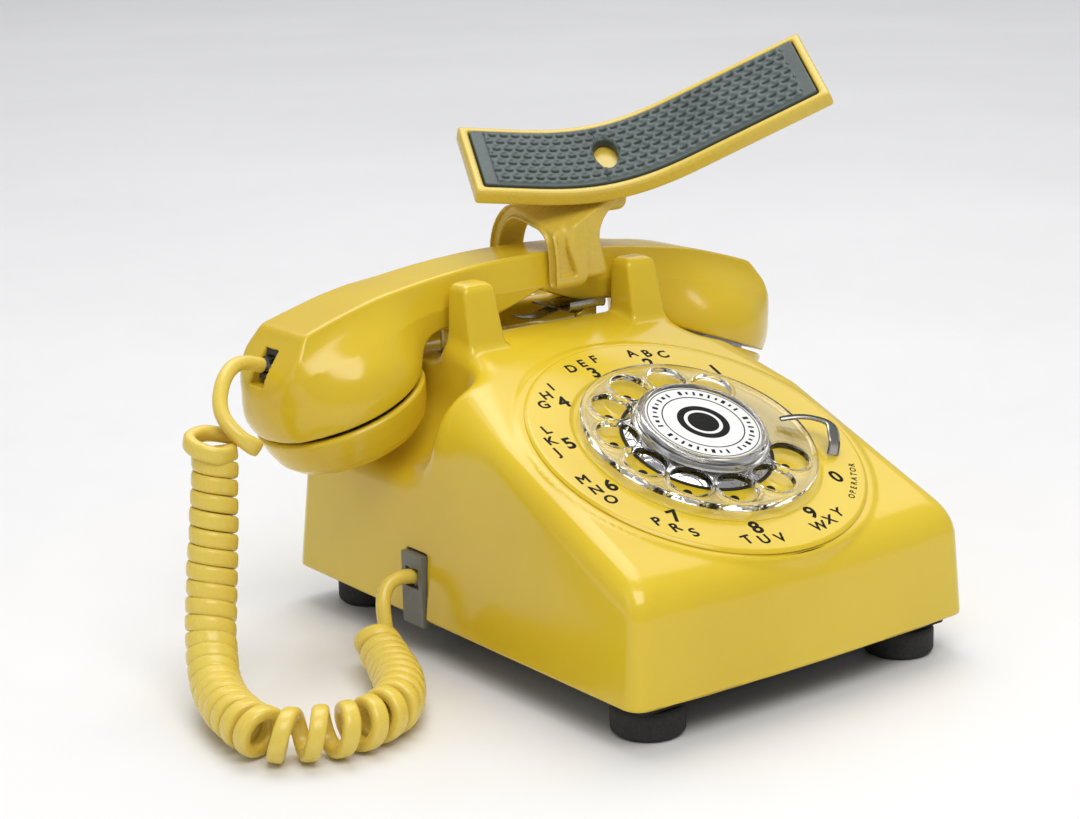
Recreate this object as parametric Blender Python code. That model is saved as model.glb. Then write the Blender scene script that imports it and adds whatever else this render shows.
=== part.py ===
"""Desk telephone with a rotary dial, a coiled handset cord and a clip-on shoulder rest.

The phone stands on z = 0 with its dial facing -Y and the handset lying along X.
Lengths in this script are millimetres; make_object turns them into metres.
"""
import math

import bmesh
import bpy
import numpy as np
from mathutils import Matrix, Vector

MM = 0.001

# ---------------------------------------------------------------- base and housing
BASE_Z = 13.0
HALF_W = 69.6
HALF_D = 95.7
SIDE_DRAFT = 0.07
FRONT_DRAFT = 0.05
WALL = 3.0
GRID = 6.0
PLATE_LOW = BASE_Z - 3.0
PLATE_TOP = BASE_Z - 1.2

# the sloping face and the dial on it
DIAL_CENTRE = Vector((0.0, -40.2, 70.7))
DIAL_TILT = math.radians(23.3)
PLATE_R = 56.4
PLATE_HIGH = 1.9
WHEEL_R = 39.0
WHEEL_LOW = 3.0
WHEEL_TOP = 5.6
HOLE_RING_R = 29.2
HOLE_R = 6.6
HOLE_STEP = math.radians(30.3)
HOLE_FIRST = math.radians(43.8)
CARD_R = 19.1
GEAR_TEETH = 24
GEAR_R = 23.3
PINION_TEETH = 8
PINION_R = 7.6
TOOTH_DEPTH = 1.2
PINION_X = -31.2
GOVERNOR_XY = (-20.0, -26.0)

# the cradle
CRADLE_Y = 53.0
CREST_Z = 100.5
EAR_Z = 118.5
EAR_REAR_Z = 108.0
EAR_IN = 28.4
EAR_OUT = 40.6
EAR_FRONT_Y = 28.0
EAR_THICK = 10.5
PLUNGER_X = 29.0

# the handset
CAP_X = 75.0
CAP_R = 28.6
CAP_TILT = math.radians(20.0)
SEAM_Z = 81.8
HANDLE_TOP = 122.5
HANDLE_HALF = 13.0
HANDSET_END = 106.0

# the shoulder rest
REST_LEFT = 50.0
REST_RIGHT = 79.0
REST_WIDTH = 40.0
REST_BEND = 34.0
REST_FLOOR = -3.5
REST_LOW_ANGLE = math.radians(-23.0)
REST_HIGH_ANGLE = math.radians(11.5)
BRACKET_X = 17.0

# the coiled cord, as one tube of its outer diameter
COIL_R = 8.2
WIRE_R = 2.5
JACK_Y = 20.6
JACK_Z = 23.0


# ---------------------------------------------------------------- scene helpers
def material(name, colour, metallic=0.0, rough=0.4, clear=0.0):
    mat = bpy.data.materials.new(name)
    mat.use_nodes = True
    shader = mat.node_tree.nodes["Principled BSDF"]
    shader.inputs["Base Color"].default_value = (*colour, 1.0)
    shader.inputs["Metallic"].default_value = metallic
    shader.inputs["Roughness"].default_value = rough
    shader.inputs["Transmission Weight"].default_value = clear
    mat.diffuse_color = (*colour, 1.0)
    mat.metallic = metallic
    mat.roughness = rough
    return mat


def make_object(name, bm, mat, origin=(0.0, 0.0, 0.0)):
    """Turn a bmesh drawn in millimetres of the whole phone into one object about its origin."""
    origin = Vector(origin)
    bmesh.ops.recalc_face_normals(bm, faces=bm.faces[:])
    for vert in bm.verts:
        vert.co = (vert.co - origin) * MM
    mesh = bpy.data.meshes.new(name)
    bm.to_mesh(mesh)
    bm.free()
    mesh.materials.append(mat)
    obj = bpy.data.objects.new(name, mesh)
    bpy.context.scene.collection.objects.link(obj)
    obj.location = origin * MM
    return obj


def boolean(obj, cutter, how="DIFFERENCE"):
    """Cut or join with a scratch object, then remove the scratch object."""
    mod = obj.modifiers.new("cut", "BOOLEAN")
    mod.operation = how
    mod.solver = "EXACT"
    mod.object = cutter
    apply_modifiers(obj)
    bpy.data.objects.remove(cutter)


def apply_modifiers(obj):
    graph = bpy.context.evaluated_depsgraph_get()
    mesh = bpy.data.meshes.new_from_object(obj.evaluated_get(graph), depsgraph=graph)
    obj.modifiers.clear()
    old = obj.data
    obj.data = mesh
    mesh.name = obj.name
    bpy.data.meshes.remove(old)


def decimate(obj, ratio):
    mod = obj.modifiers.new("thin", "DECIMATE")
    mod.ratio = ratio
    apply_modifiers(obj)


# ---------------------------------------------------------------- simple solids
def frame_matrix(origin, axis, up_hint=(0.0, 0.0, 1.0)):
    """A frame at origin whose Z runs along axis and whose Y leans to up_hint."""
    z = Vector(axis).normalized()
    x = Vector(up_hint).cross(z)
    if x.length < 1e-6:
        x = Vector((1.0, 0.0, 0.0)).cross(z)
    if x.length < 1e-6:
        x = Vector((0.0, 1.0, 0.0)).cross(z)
    x.normalize()
    y = z.cross(x)
    mat = Matrix((x, y, z)).transposed().to_4x4()
    mat.translation = Vector(origin)
    return mat


def box(centre, size, bevel=0.0, turn=None, segments=2):
    bm = bmesh.new()
    bmesh.ops.create_cube(bm, size=1.0)
    for vert in bm.verts:
        vert.co = Vector((vert.co.x * size[0], vert.co.y * size[1], vert.co.z * size[2]))
    if bevel > 0.0:
        bmesh.ops.bevel(bm, geom=bm.edges[:], offset=bevel, segments=segments, affect="EDGES", profile=0.5)
    if turn is not None:
        bm.transform(turn.to_4x4())
    bmesh.ops.translate(bm, verts=bm.verts[:], vec=Vector(centre))
    return bm


def turned(profile, place, steps=48):
    """Revolve (radius, height) points about the frame's Z; a closed profile gives a ring."""
    bm = bmesh.new()
    solid = profile[0][0] < 1e-6
    rings = []
    for radius, height in profile:
        if radius < 1e-6:
            rings.append([bm.verts.new(place @ Vector((0.0, 0.0, height)))])
            continue
        ring = []
        for i in range(steps):
            angle = 2.0 * math.pi * i / steps
            point = Vector((radius * math.cos(angle), radius * math.sin(angle), height))
            ring.append(bm.verts.new(place @ point))
        rings.append(ring)
    count = len(rings)
    pairs = count - 1 if solid else count
    for k in range(pairs):
        low = rings[k]
        high = rings[(k + 1) % count]
        for i in range(steps):
            j = (i + 1) % steps
            if len(low) == 1:
                bm.faces.new((low[0], high[j], high[i]))
            elif len(high) == 1:
                bm.faces.new((low[i], low[j], high[0]))
            else:
                bm.faces.new((low[i], low[j], high[j], high[i]))
    return bm


def disc(place, radius, low, high, steps=48, edge=0.0):
    if edge > 0.0:
        profile = [(0.0, low), (radius - edge, low), (radius, low + edge)]
        profile += [(radius, high - edge), (radius - edge, high), (0.0, high)]
    else:
        profile = [(0.0, low), (radius, low), (radius, high), (0.0, high)]
    return turned(profile, place, steps)


def ring(place, inner, outer, low, high, steps=48):
    return turned([(inner, low), (outer, low), (outer, high), (inner, high)], place, steps)


def join_solids(name, parts, mat, origin=(0.0, 0.0, 0.0)):
    """One object from several overlapping solids, joined exactly."""
    obj = make_object(name, parts[0], mat, origin)
    for bm in parts[1:]:
        boolean(obj, make_object("joiner", bm, mat, origin), "UNION")
    return obj


def cut_solids(obj, parts, origin=(0.0, 0.0, 0.0)):
    for bm in parts:
        boolean(obj, make_object("cutter", bm, obj.data.materials[0], origin))
    return obj


def extrude_outline(points, place, low, high):
    """A prism on an outline given in the frame's XY."""
    bm = bmesh.new()
    bottom = [bm.verts.new(place @ Vector((x, y, low))) for x, y in points]
    top = [bm.verts.new(place @ Vector((x, y, high))) for x, y in points]
    bm.faces.new(bottom[::-1])
    bm.faces.new(top)
    count = len(points)
    for i in range(count):
        j = (i + 1) % count
        bm.faces.new((bottom[i], bottom[j], top[j], top[i]))
    return bm


def toothed(teeth, radius):
    """The outline of a gear with plain teeth, as points about its centre."""
    points = []
    root = radius - TOOTH_DEPTH
    for i in range(teeth):
        for part, reach in ((0.0, root), (0.35, root), (0.5, radius), (0.85, radius)):
            angle = 2.0 * math.pi * (i + part) / teeth
            points.append((reach * math.cos(angle), reach * math.sin(angle)))
    return points


def strip(points, widths, thick, place):
    """A bent strip of metal through (radius, angle, height) points about the frame's axis."""
    spots = []
    for radius, degrees, height in points:
        angle = math.radians(degrees)
        spots.append(Vector((radius * math.cos(angle), radius * math.sin(angle), height)))
    bm = bmesh.new()
    rows = []
    count = len(spots)
    for i, spot in enumerate(spots):
        ahead = (spots[min(i + 1, count - 1)] - spots[max(i - 1, 0)]).normalized()
        across = Vector((0.0, 0.0, 1.0)).cross(ahead)
        if across.length < 0.2:
            across = Vector((0.0, 1.0, 0.0))
        across.normalize()
        up = ahead.cross(across)
        corners = []
        for sx, sz in ((-1, -1), (1, -1), (1, 1), (-1, 1)):
            corners.append(bm.verts.new(place @ (spot + across * sx * widths[i] / 2 + up * sz * thick / 2)))
        rows.append(corners)
    for a, b in zip(rows, rows[1:]):
        for i in range(4):
            j = (i + 1) % 4
            bm.faces.new((a[i], a[j], b[j], b[i]))
    bm.faces.new(rows[0][::-1])
    bm.faces.new(rows[-1])
    return bm


def tube(name, points, radius, mat, resolution=3):
    """A capped round tube through the points, as a mesh of its own."""
    curve = bpy.data.curves.new(name, "CURVE")
    curve.dimensions = "3D"
    curve.bevel_depth = radius * MM
    curve.bevel_resolution = resolution
    curve.use_fill_caps = True
    spline = curve.splines.new("POLY")
    spline.points.add(len(points) - 1)
    for point, place in zip(spline.points, points):
        point.co = (*(Vector(place) * MM), 1.0)
    obj = bpy.data.objects.new(name, curve)
    bpy.context.scene.collection.objects.link(obj)
    curve.materials.append(mat)
    return obj


def smooth_path(knots, spacing):
    """Even points along a smooth curve through the knots."""
    pts = [Vector(k) for k in knots]
    fine = []
    for i in range(len(pts) - 1):
        p0 = pts[max(i - 1, 0)]
        p1 = pts[i]
        p2 = pts[i + 1]
        p3 = pts[min(i + 2, len(pts) - 1)]
        for s in range(24):
            t = s / 24.0
            a = 2.0 * p1
            b = (p2 - p0) * t
            c = (2.0 * p0 - 5.0 * p1 + 4.0 * p2 - p3) * t * t
            d = (3.0 * p1 - p0 - 3.0 * p2 + p3) * t * t * t
            fine.append((a + b + c + d) * 0.5)
    fine.append(pts[-1])
    lengths = [0.0]
    for a, b in zip(fine, fine[1:]):
        lengths.append(lengths[-1] + (b - a).length)
    count = max(2, round(lengths[-1] / spacing) + 1)
    out = []
    k = 0
    for i in range(count):
        want = lengths[-1] * i / (count - 1)
        while k < len(lengths) - 2 and lengths[k + 1] < want:
            k += 1
        part = (want - lengths[k]) / max(lengths[k + 1] - lengths[k], 1e-9)
        out.append(fine[k].lerp(fine[k + 1], min(max(part, 0.0), 1.0)))
    return out


# ---------------------------------------------------------------- distance fields
def smin(a, b, k):
    h = np.clip(0.5 + 0.5 * (b - a) / k, 0.0, 1.0)
    return b * (1.0 - h) + a * h - k * h * (1.0 - h)


def smax(a, b, k):
    return -smin(-a, -b, k)


def round_box(x, y, z, centre, half, r):
    qx = np.abs(x - centre[0]) - half[0] + r
    qy = np.abs(y - centre[1]) - half[1] + r
    qz = np.abs(z - centre[2]) - half[2] + r
    out = np.sqrt(np.maximum(qx, 0.0) ** 2 + np.maximum(qy, 0.0) ** 2 + np.maximum(qz, 0.0) ** 2)
    return out + np.minimum(np.maximum(qx, np.maximum(qy, qz)), 0.0) - r


def dial_plane(y):
    return DIAL_CENTRE.z + (y - DIAL_CENTRE.y) * math.tan(DIAL_TILT)


def housing_field(x, y, z):
    """Negative inside the outer skin of the housing, which goes on below its rim."""
    ax = np.abs(x)
    up = z - BASE_Z
    side = ax - (HALF_W - SIDE_DRAFT * up)
    front = -y - (HALF_D - FRONT_DRAFT * up - 0.0005 * ax * ax)
    back = y - (HALF_D - 0.09 * up)
    body = smax(side, smax(front, back, 6.0), 6.0)
    slope = (z - dial_plane(y)) * math.cos(DIAL_TILT)
    body = smax(body, slope, 9.0 + 11.0 * np.clip((y + 20.0) / 25.0, 0.0, 1.0))
    rear = (z - 96.0 + 1.15 * (y - 74.0)) * 0.66
    body = smax(body, rear, 16.0)
    body = smax(body, z - CREST_Z + 1.0, 6.0)
    # scooped sides below the handset's caps
    scoop_front = 12.0 - 0.10 * (ax - 42.0) + 0.32 * (92.0 - z)
    cut = smin(ax - 43.6 - 0.06 * (100.0 - z), z - 65.0 + 0.36 * (ax - 49.0), 16.0)
    cut = smin(cut, (y - scoop_front) * 0.85, 12.0)
    body = smax(body, cut, 6.0)
    # four ears
    reach = np.abs(y - CRADLE_Y)
    drop = np.clip(EAR_Z - z, 0.0, 30.0)
    ear_y = CRADLE_Y - EAR_FRONT_Y - 0.5 * EAR_THICK
    ear_x = 0.5 * (EAR_IN + EAR_OUT)
    thick = 0.5 * EAR_THICK + 0.12 * drop
    wide = 0.5 * (EAR_OUT - EAR_IN) + 0.05 * drop
    shape_x = np.abs(ax - ear_x) - wide
    shape_y = np.abs(reach - ear_y - 0.10 * drop) - thick
    ear = smax(shape_x, shape_y, 2.4)
    ear = smax(ear, z - np.where(y > CRADLE_Y, EAR_REAR_Z, EAR_Z), 5.0)
    ear = smax(ear, 80.0 - z, 2.0)
    body = smin(body, ear, 5.0)
    # the trough for the handle
    trough = smax(reach - 14.4, 91.0 - z, 9.0)
    body = smax(body, -trough, 3.0)
    # the carrying grip at the back, between the rear ears
    grip = round_box(ax, y, z, (0.0, 84.0, 92.0), (24.0, 26.0, 20.0), 14.0)
    return smax(body, -grip, 5.0)


def gradient(field, p, step=0.05):
    out = np.empty_like(p)
    for axis in range(3):
        lo = p.copy()
        hi = p.copy()
        lo[:, axis] -= step
        hi[:, axis] += step
        out[:, axis] = (field(*hi.T) - field(*lo.T)) / (2.0 * step)
    return out


def field_mesh(field, low, high, spacing):
    """Closed quad mesh of the zero surface of a field, drawn on an even grid."""
    axes = [np.arange(a - spacing, b + 2.0 * spacing, spacing) for a, b in zip(low, high)]
    gx, gy, gz = np.meshgrid(*axes, indexing="ij")
    value = field(gx, gy, gz)
    inside = value < 0.0
    cells = tuple(n - 1 for n in value.shape)
    total = np.zeros(cells + (3,))
    hits = np.zeros(cells)
    crossings = []
    for axis in range(3):
        a = [slice(None)] * 3
        b = [slice(None)] * 3
        a[axis] = slice(0, -1)
        b[axis] = slice(1, None)
        va = value[tuple(a)]
        vb = value[tuple(b)]
        cross = inside[tuple(a)] != inside[tuple(b)]
        t = np.where(cross, va / np.where(cross, va - vb, 1.0), 0.0)
        crossings.append((cross, inside[tuple(a)]))
        others = [i for i in range(3) if i != axis]
        for da in (0, 1):
            for db in (0, 1):
                src = [slice(None)] * 3
                src[others[0]] = slice(da, cells[others[0]] + da)
                src[others[1]] = slice(db, cells[others[1]] + db)
                hit = cross[tuple(src)]
                hits += hit
                total[..., axis] += np.where(hit, t[tuple(src)], 0.0)
                total[..., others[0]] += np.where(hit, da, 0.0)
                total[..., others[1]] += np.where(hit, db, 0.0)
    used = hits > 0
    index = -np.ones(cells, dtype=np.int64)
    index[used] = np.arange(used.sum())
    base = np.argwhere(used)
    points = np.array([ax[0] for ax in axes]) + spacing * (base + total[used] / hits[used][:, None])
    for _ in range(4):
        slope = gradient(field, points)
        size = np.maximum((slope * slope).sum(1), 0.2)
        move = -(field(*points.T) / size)[:, None] * slope
        length = np.linalg.norm(move, axis=1, keepdims=True)
        points += move * np.minimum(1.0, 0.35 * spacing / np.maximum(length, 1e-9))
    faces = []
    for axis in range(3):
        cross, starts_inside = crossings[axis]
        others = [i for i in range(3) if i != axis]
        found = np.argwhere(cross)
        ok = np.ones(len(found), dtype=bool)
        for o in others:
            ok &= (found[:, o] > 0) & (found[:, o] < cells[o])
        found = found[ok]
        corners = []
        for da, db in ((-1, -1), (0, -1), (0, 0), (-1, 0)):
            c = found.copy()
            c[:, others[0]] += da
            c[:, others[1]] += db
            corners.append(index[tuple(c.T)])
        quads = np.stack(corners, 1)
        turn = starts_inside[tuple(found.T)]
        if axis == 1:
            turn = ~turn
        quads[~turn] = quads[~turn][:, ::-1]
        faces.append(quads)
    bm = bmesh.new()
    verts = [bm.verts.new(p) for p in points]
    for quad in np.concatenate(faces):
        bm.faces.new([verts[i] for i in quad])
    return bm


def slab(low, high):
    """A plain box between two corners."""
    low = Vector(low)
    high = Vector(high)
    return box((low + high) / 2.0, high - low)


# ---------------------------------------------------------------- start from an empty scene
for leftover in list(bpy.data.objects):
    bpy.data.objects.remove(leftover)

yellow = material("yellow_plastic", (0.84, 0.60, 0.10), rough=0.25)
black_rubber = material("black_rubber", (0.02, 0.02, 0.02), rough=0.8)
steel = material("zinc_steel", (0.45, 0.45, 0.46), metallic=1.0, rough=0.4)
chrome = material("chrome", (0.75, 0.75, 0.76), metallic=1.0, rough=0.12)
clear = material("clear_plastic", (0.95, 0.95, 0.93), rough=0.05, clear=0.9)
brass = material("brass", (0.62, 0.50, 0.25), metallic=1.0, rough=0.35)
white = material("white_card", (0.9, 0.9, 0.88), rough=0.4)
grey = material("grey_plastic", (0.20, 0.20, 0.17), rough=0.5)
dark = material("dark_plastic", (0.05, 0.05, 0.05), rough=0.5)
copper = material("copper_wire", (0.55, 0.27, 0.13), metallic=0.7, rough=0.4)
foam = material("grey_foam", (0.13, 0.18, 0.17), rough=0.9)
cord_yellow = material("cord_yellow", (0.82, 0.68, 0.16), rough=0.35)

dial = frame_matrix(DIAL_CENTRE, (0.0, -math.sin(DIAL_TILT), math.cos(DIAL_TILT)))


def at(x, y, z=0.0):
    return Matrix.Translation((x, y, z))


# ---------------------------------------------------------------- housing shell
def outer_field(x, y, z):
    skin = housing_field(x, y, z)
    dx = x - DIAL_CENTRE.x
    dy = y - DIAL_CENTRE.y
    dz = z - DIAL_CENTRE.z
    height = -dy * math.sin(DIAL_TILT) + dz * math.cos(DIAL_TILT)
    along = dy * math.cos(DIAL_TILT) + dz * math.sin(DIAL_TILT)
    reach = np.sqrt(dx * dx + along * along)
    boss = smax(smax(reach - PLATE_R - 1.2, height - 0.4, 1.0), -12.0 - height, 1.0)
    return smin(skin, boss, 3.0)


def inner_field(x, y, z):
    return smax(housing_field(x, y, z) + WALL, z - 84.0, 5.0)


def open_bottom(field, low_z):
    return lambda x, y, z: np.maximum(field(x, y, z), low_z - z)


reach = (HALF_W + 4.0, HALF_D + 4.0)
outer_bm = field_mesh(open_bottom(outer_field, 6.2), (-reach[0], -reach[1], 0.0), (*reach, 122.0), GRID)
inner_bm = field_mesh(open_bottom(inner_field, 2.1), (-reach[0], -reach[1], -2.0), (*reach, 90.0), GRID)
housing = make_object("housing", outer_bm, yellow)
decimate(housing, 0.5)
inner = make_object("inner", inner_bm, yellow)
decimate(inner, 0.3)
boolean(housing, inner)
below = make_object("below", slab((-90, -120, -10), (90, 120, BASE_Z)), yellow)
boolean(housing, below)
seat = disc(dial, PLATE_R + 0.5, -0.3, 14.0)
opening = disc(dial, 42.0, -14.0, 4.0)
wells = [disc(at(s * PLUNGER_X, CRADLE_Y), 4.6, 70.0, 104.0, 20) for s in (-1, 1)]
jack_notch = slab((-HALF_W - 6, JACK_Y - 6.2, 2.0), (-HALF_W + 16, JACK_Y + 6.2, JACK_Z + 12.0))
line_notch = slab((-31.0, HALF_D - 12, 2.0), (-19.0, HALF_D + 8, 28.0))
cut_solids(housing, [seat, opening, *wells, jack_notch, line_notch])

# ---------------------------------------------------------------- base plate, feet and screws
FEET = {
    "foot_front_left": (-53.0, -79.0),
    "foot_front_right": (53.0, -79.0),
    "foot_rear_left": (-50.0, 78.0),
    "foot_rear_right": (50.0, 78.0),
}
base_plate = make_object(
    "base_plate", box((0, 0, (PLATE_LOW + PLATE_TOP) / 2), (2 * HALF_W - 7, 2 * HALF_D - 7, 1.8), 0.4), steel
)
cut_solids(base_plate, [
    slab((-80, JACK_Y - 6.6, 0), (-HALF_W + 17, JACK_Y + 6.6, 20)),
    slab((-31.4, HALF_D - 13, 0), (-18.6, HALF_D + 8, 20)),
    slab((24.0, -9.0, 0), (38.0, 9.0, 20)),
])
for name, (x, y) in FEET.items():
    profile = [(0.0, 0.0), (10.0, 0.0), (11.5, 1.5), (11.5, PLATE_LOW - 1.8), (10.8, PLATE_LOW - 0.4), (0.0, PLATE_LOW - 0.4)]
    make_object(name, turned(profile, at(x, y), 20), black_rubber)
for name, y in (("case_screw_front", -60.0), ("case_screw_rear", 60.0)):
    post = disc(at(0, y), 2.0, PLATE_LOW - 1.0, PLATE_TOP + 7.0, 16)
    head = disc(at(0, y), 4.0, PLATE_LOW - 2.8, PLATE_LOW - 0.4, 24)
    cut_solids(base_plate, [disc(at(0, y), 2.5, 0, 20, 16)])
    join_solids(name, [head, post], steel)

# ---------------------------------------------------------------- number plate and dial
plate_profile = [
    (9.0, 0.0), (PLATE_R - 0.8, 0.0), (PLATE_R, 0.8), (PLATE_R, PLATE_HIGH - 0.7),
    (PLATE_R - 0.8, PLATE_HIGH), (41.5, PLATE_HIGH), (40.5, PLATE_HIGH - 0.7), (9.0, PLATE_HIGH - 0.7),
]
make_object("number_plate", turned(plate_profile, dial, 48), yellow)
make_object("dial_frame", ring(dial, 11.0, 39.0, -4.0, -0.4, 24), steel)

wheel_profile = [
    (4.4, WHEEL_LOW + 0.3), (WHEEL_R - 0.6, WHEEL_LOW + 0.3), (WHEEL_R, WHEEL_LOW + 0.9),
    (WHEEL_R, WHEEL_TOP - 0.6), (WHEEL_R - 0.6, WHEEL_TOP), (4.4, WHEEL_TOP),
]
wheel = make_object("finger_wheel", turned(wheel_profile, dial, 40), clear, DIAL_CENTRE)
holes = []
for i in range(10):
    angle = HOLE_FIRST + HOLE_STEP * i
    spot = dial @ Matrix.Translation((HOLE_RING_R * math.cos(angle), HOLE_RING_R * math.sin(angle), 0.0))
    holes.append(disc(spot, HOLE_R, 1.0, 8.0, 12))
cut_solids(wheel, holes, DIAL_CENTRE)
retainer_profile = [
    (4.4, WHEEL_TOP + 0.3), (22.6, WHEEL_TOP + 0.3), (22.6, WHEEL_TOP + 1.4), (20.6, WHEEL_TOP + 4.6),
    (19.5, WHEEL_TOP + 4.6), (19.5, WHEEL_TOP + 2.4), (4.4, WHEEL_TOP + 2.4),
]
make_object("card_retainer", turned(retainer_profile, dial, 32), chrome, DIAL_CENTRE)
make_object("number_card", disc(dial, CARD_R, WHEEL_TOP + 2.7, WHEEL_TOP + 3.9, 32), white, DIAL_CENTRE)
shaft = disc(dial, 4.0, -24.0, WHEEL_TOP + 2.1, 20)
gear = extrude_outline(toothed(GEAR_TEETH, GEAR_R), dial, -9.0, -7.2)
join_solids("dial_shaft", [shaft, gear], brass, DIAL_CENTRE)

pinion_frame = dial @ Matrix.Translation((PINION_X, 0.0, 0.0))
pinion = extrude_outline(toothed(PINION_TEETH, PINION_R), pinion_frame, -9.6, -6.8)
arbor = disc(pinion_frame, 1.4, -26.0, -5.0, 12)
cam = disc(pinion_frame @ Matrix.Translation((0.9, 0.0, 0.0)), 4.4, -14.5, -12.5, 20)
join_solids("pulse_pinion", [arbor, pinion, cam], brass, pinion_frame.translation)

governor_frame = dial @ Matrix.Translation((*GOVERNOR_XY, 0.0))
make_object("governor_cup", turned([
    (4.0, -23.0), (10.0, -23.0), (10.0, -14.0), (8.6, -14.0), (8.6, -21.6), (4.0, -21.6),
], governor_frame, 16), brass)
spindle = disc(governor_frame, 1.2, -22.5, -8.0, 12)
flyer = box(governor_frame @ Vector((0, 0, -17.5)), (14.0, 3.2, 4.0), 0.0, governor_frame.to_3x3())
join_solids("governor_flyer", [spindle, flyer], brass, governor_frame.translation)

stop_points = [
    (45.8, -27.5, 2.2), (45.8, -24.0, 7.0), (45.0, -16.0, 9.0), (38.0, -11.0, 8.6), (30.6, -8.0, 7.2),
]
stop_widths = (6.5, 6.5, 6.5, 5.0, 3.4)
make_object("finger_stop", strip(stop_points, stop_widths, 1.1, dial), chrome)

# ---------------------------------------------------------------- hook switch
for side, name in ((-1, "plunger_left"), (1, "plunger_right")):
    spot = (side * PLUNGER_X, CRADLE_Y, 0.0)
    profile = [
        (0.0, 66.0), (3.0, 66.0), (3.0, 74.0), (6.2, 74.0), (6.2, 76.0), (3.9, 76.0), (3.9, 99.6), (3.1, 100.6),
        (0.0, 100.6),
    ]
    make_object(name, turned(profile, at(*spot), 20), clear, (side * PLUNGER_X, CRADLE_Y, 74.0))
HOOK_PIVOT = Vector((0.0, 67.0, 62.0))
arms = box((0, 60.0, 64.2), (2 * PLUNGER_X + 8, 16.0, 1.6))
hub = disc(frame_matrix(HOOK_PIVOT, (1, 0, 0)), 2.6, -37.0, 37.0, 16)
join_solids("hook_lever", [hub, arms], steel, HOOK_PIVOT)
contacts = box((0.0, 58.0, 53.6), (22.0, 12.0, 10.0), 0.8)
make_object("hook_contacts", contacts, dark)

# ---------------------------------------------------------------- ringer and network
GONG_Z = 28.0
GONG_LEFT = Vector((-26.0, -52.0, GONG_Z))
GONG_RIGHT = Vector((26.0, -52.0, GONG_Z))


def gong(name, spot, radius):
    profile = [(2.0, 2.0), (radius - 6.0, 2.0), (radius - 1.0, -3.0), (radius, -9.0)]
    profile += [(radius - 1.0, -9.0), (radius - 2.0, -3.4), (radius - 6.6, 1.0), (2.0, 1.0)]
    make_object(name, turned(profile, at(*spot), 20), brass)


gong("gong_left", GONG_LEFT, 21.0)
gong("gong_right", GONG_RIGHT, 21.0)
ringer_bar = box((0, -30.0, 14.2), (84.0, 7.0, 2.0))
ringer_posts = []
for spot in (GONG_LEFT, GONG_RIGHT):
    ringer_posts.append(disc(at(spot.x, spot.y), 1.6, 13.4, GONG_Z + 3.0, 12))
    ringer_posts.append(box((spot.x, -40.0, 14.2), (8.0, 30.0, 2.0)))
join_solids("ringer_frame", [ringer_bar, *ringer_posts], steel)
make_object("ringer_coil", turned([(3.0, -14.0), (10.0, -14.0), (10.0, 14.0), (3.0, 14.0)],
            frame_matrix((0.0, -18.0, 27.0), (1, 0, 0)), 16), copper)
CLAPPER_PIVOT = Vector((0.0, -33.0, 22.0))
clapper_rod = disc(frame_matrix(CLAPPER_PIVOT, (0, -1, 0)), 0.8, -3.0, 19.0, 10)
clapper_ball = disc(frame_matrix(CLAPPER_PIVOT + Vector((0, -19, 0)), (0, 0, 1)), 2.2, -2.2, 2.2, 16)
join_solids("clapper", [clapper_rod, clapper_ball], steel, CLAPPER_PIVOT)
VOLUME_TEETH = 12
VOLUME_R = 9.0
VOLUME_AT = Vector((31.0, 0.0, 14.0))
volume_frame = frame_matrix(VOLUME_AT, (1, 0, 0))
volume = extrude_outline(toothed(VOLUME_TEETH, VOLUME_R), volume_frame, -2.0, 2.0)
volume_axle = disc(volume_frame, 1.6, -6.0, 6.0, 12)
join_solids("volume_wheel", [volume, volume_axle], grey, VOLUME_AT)
make_object("network_block", box((0, 32.0, 31.0), (56.0, 44.0, 34.0), 2.0), dark)

# ---------------------------------------------------------------- jacks on the base
jack = make_object("base_cord_jack", slab((-HALF_W - 0.6, JACK_Y - 5.8, 10.4), (-HALF_W + 14, JACK_Y + 5.8, JACK_Z + 11.6)), grey)
cut_solids(jack, [slab((-HALF_W - 3, JACK_Y - 3.6, JACK_Z), (-HALF_W + 11, JACK_Y + 3.6, JACK_Z + 7.0))])
line = make_object("line_jack", slab((-30.6, HALF_D - 11, 10.4), (-19.4, HALF_D + 0.4, 27.6)), grey)
cut_solids(line, [slab((-28.4, HALF_D - 8, 14.0), (-21.6, HALF_D + 3, 21.0))])

# ---------------------------------------------------------------- handset
def cap_frame(side):
    """Origin at the middle of the seam, Z out of the cup towards the handle."""
    axis = Vector((side * math.sin(CAP_TILT), 0.0, math.cos(CAP_TILT)))
    origin = Vector((side * CAP_X, CRADLE_Y, SEAM_Z))
    y = Vector((0.0, 1.0, 0.0))
    x = y.cross(axis)
    mat = Matrix((x, y, axis)).transposed().to_4x4()
    mat.translation = origin
    return mat


def handle_top(x):
    return HANDLE_TOP - 0.0015 * x * x - 1.6e-8 * x ** 4


def handset_field(x, y, z):
    ax = np.abs(x)
    dy = y - CRADLE_Y
    top = handle_top(x)
    side = np.abs(dy) - (HANDLE_HALF - 0.15 * np.abs(z - top + 11.0)) - 0.004 * np.maximum(ax - 40.0, 0.0) ** 1.6
    end = (ax - HANDSET_END + 0.30 * (z - SEAM_Z)) * 0.96
    bar = smax(z - top, top - 18.5 - z, 3.0)
    bar = smax(smax(bar, side, 3.4), end, 4.5)
    sin_t = math.sin(CAP_TILT)
    cos_t = math.cos(CAP_TILT)
    dx = ax - CAP_X
    dz = z - SEAM_Z
    height = dx * sin_t + dz * cos_t
    across = dx * cos_t - dz * sin_t
    around = np.sqrt(across * across + dy * dy)
    cup = smax(around - CAP_R + 0.06 * np.maximum(height, 0.0), height - 23.0, 26.0)
    return smax(smin(bar, cup, 12.0), -height + 0.4, 0.4)


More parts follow.
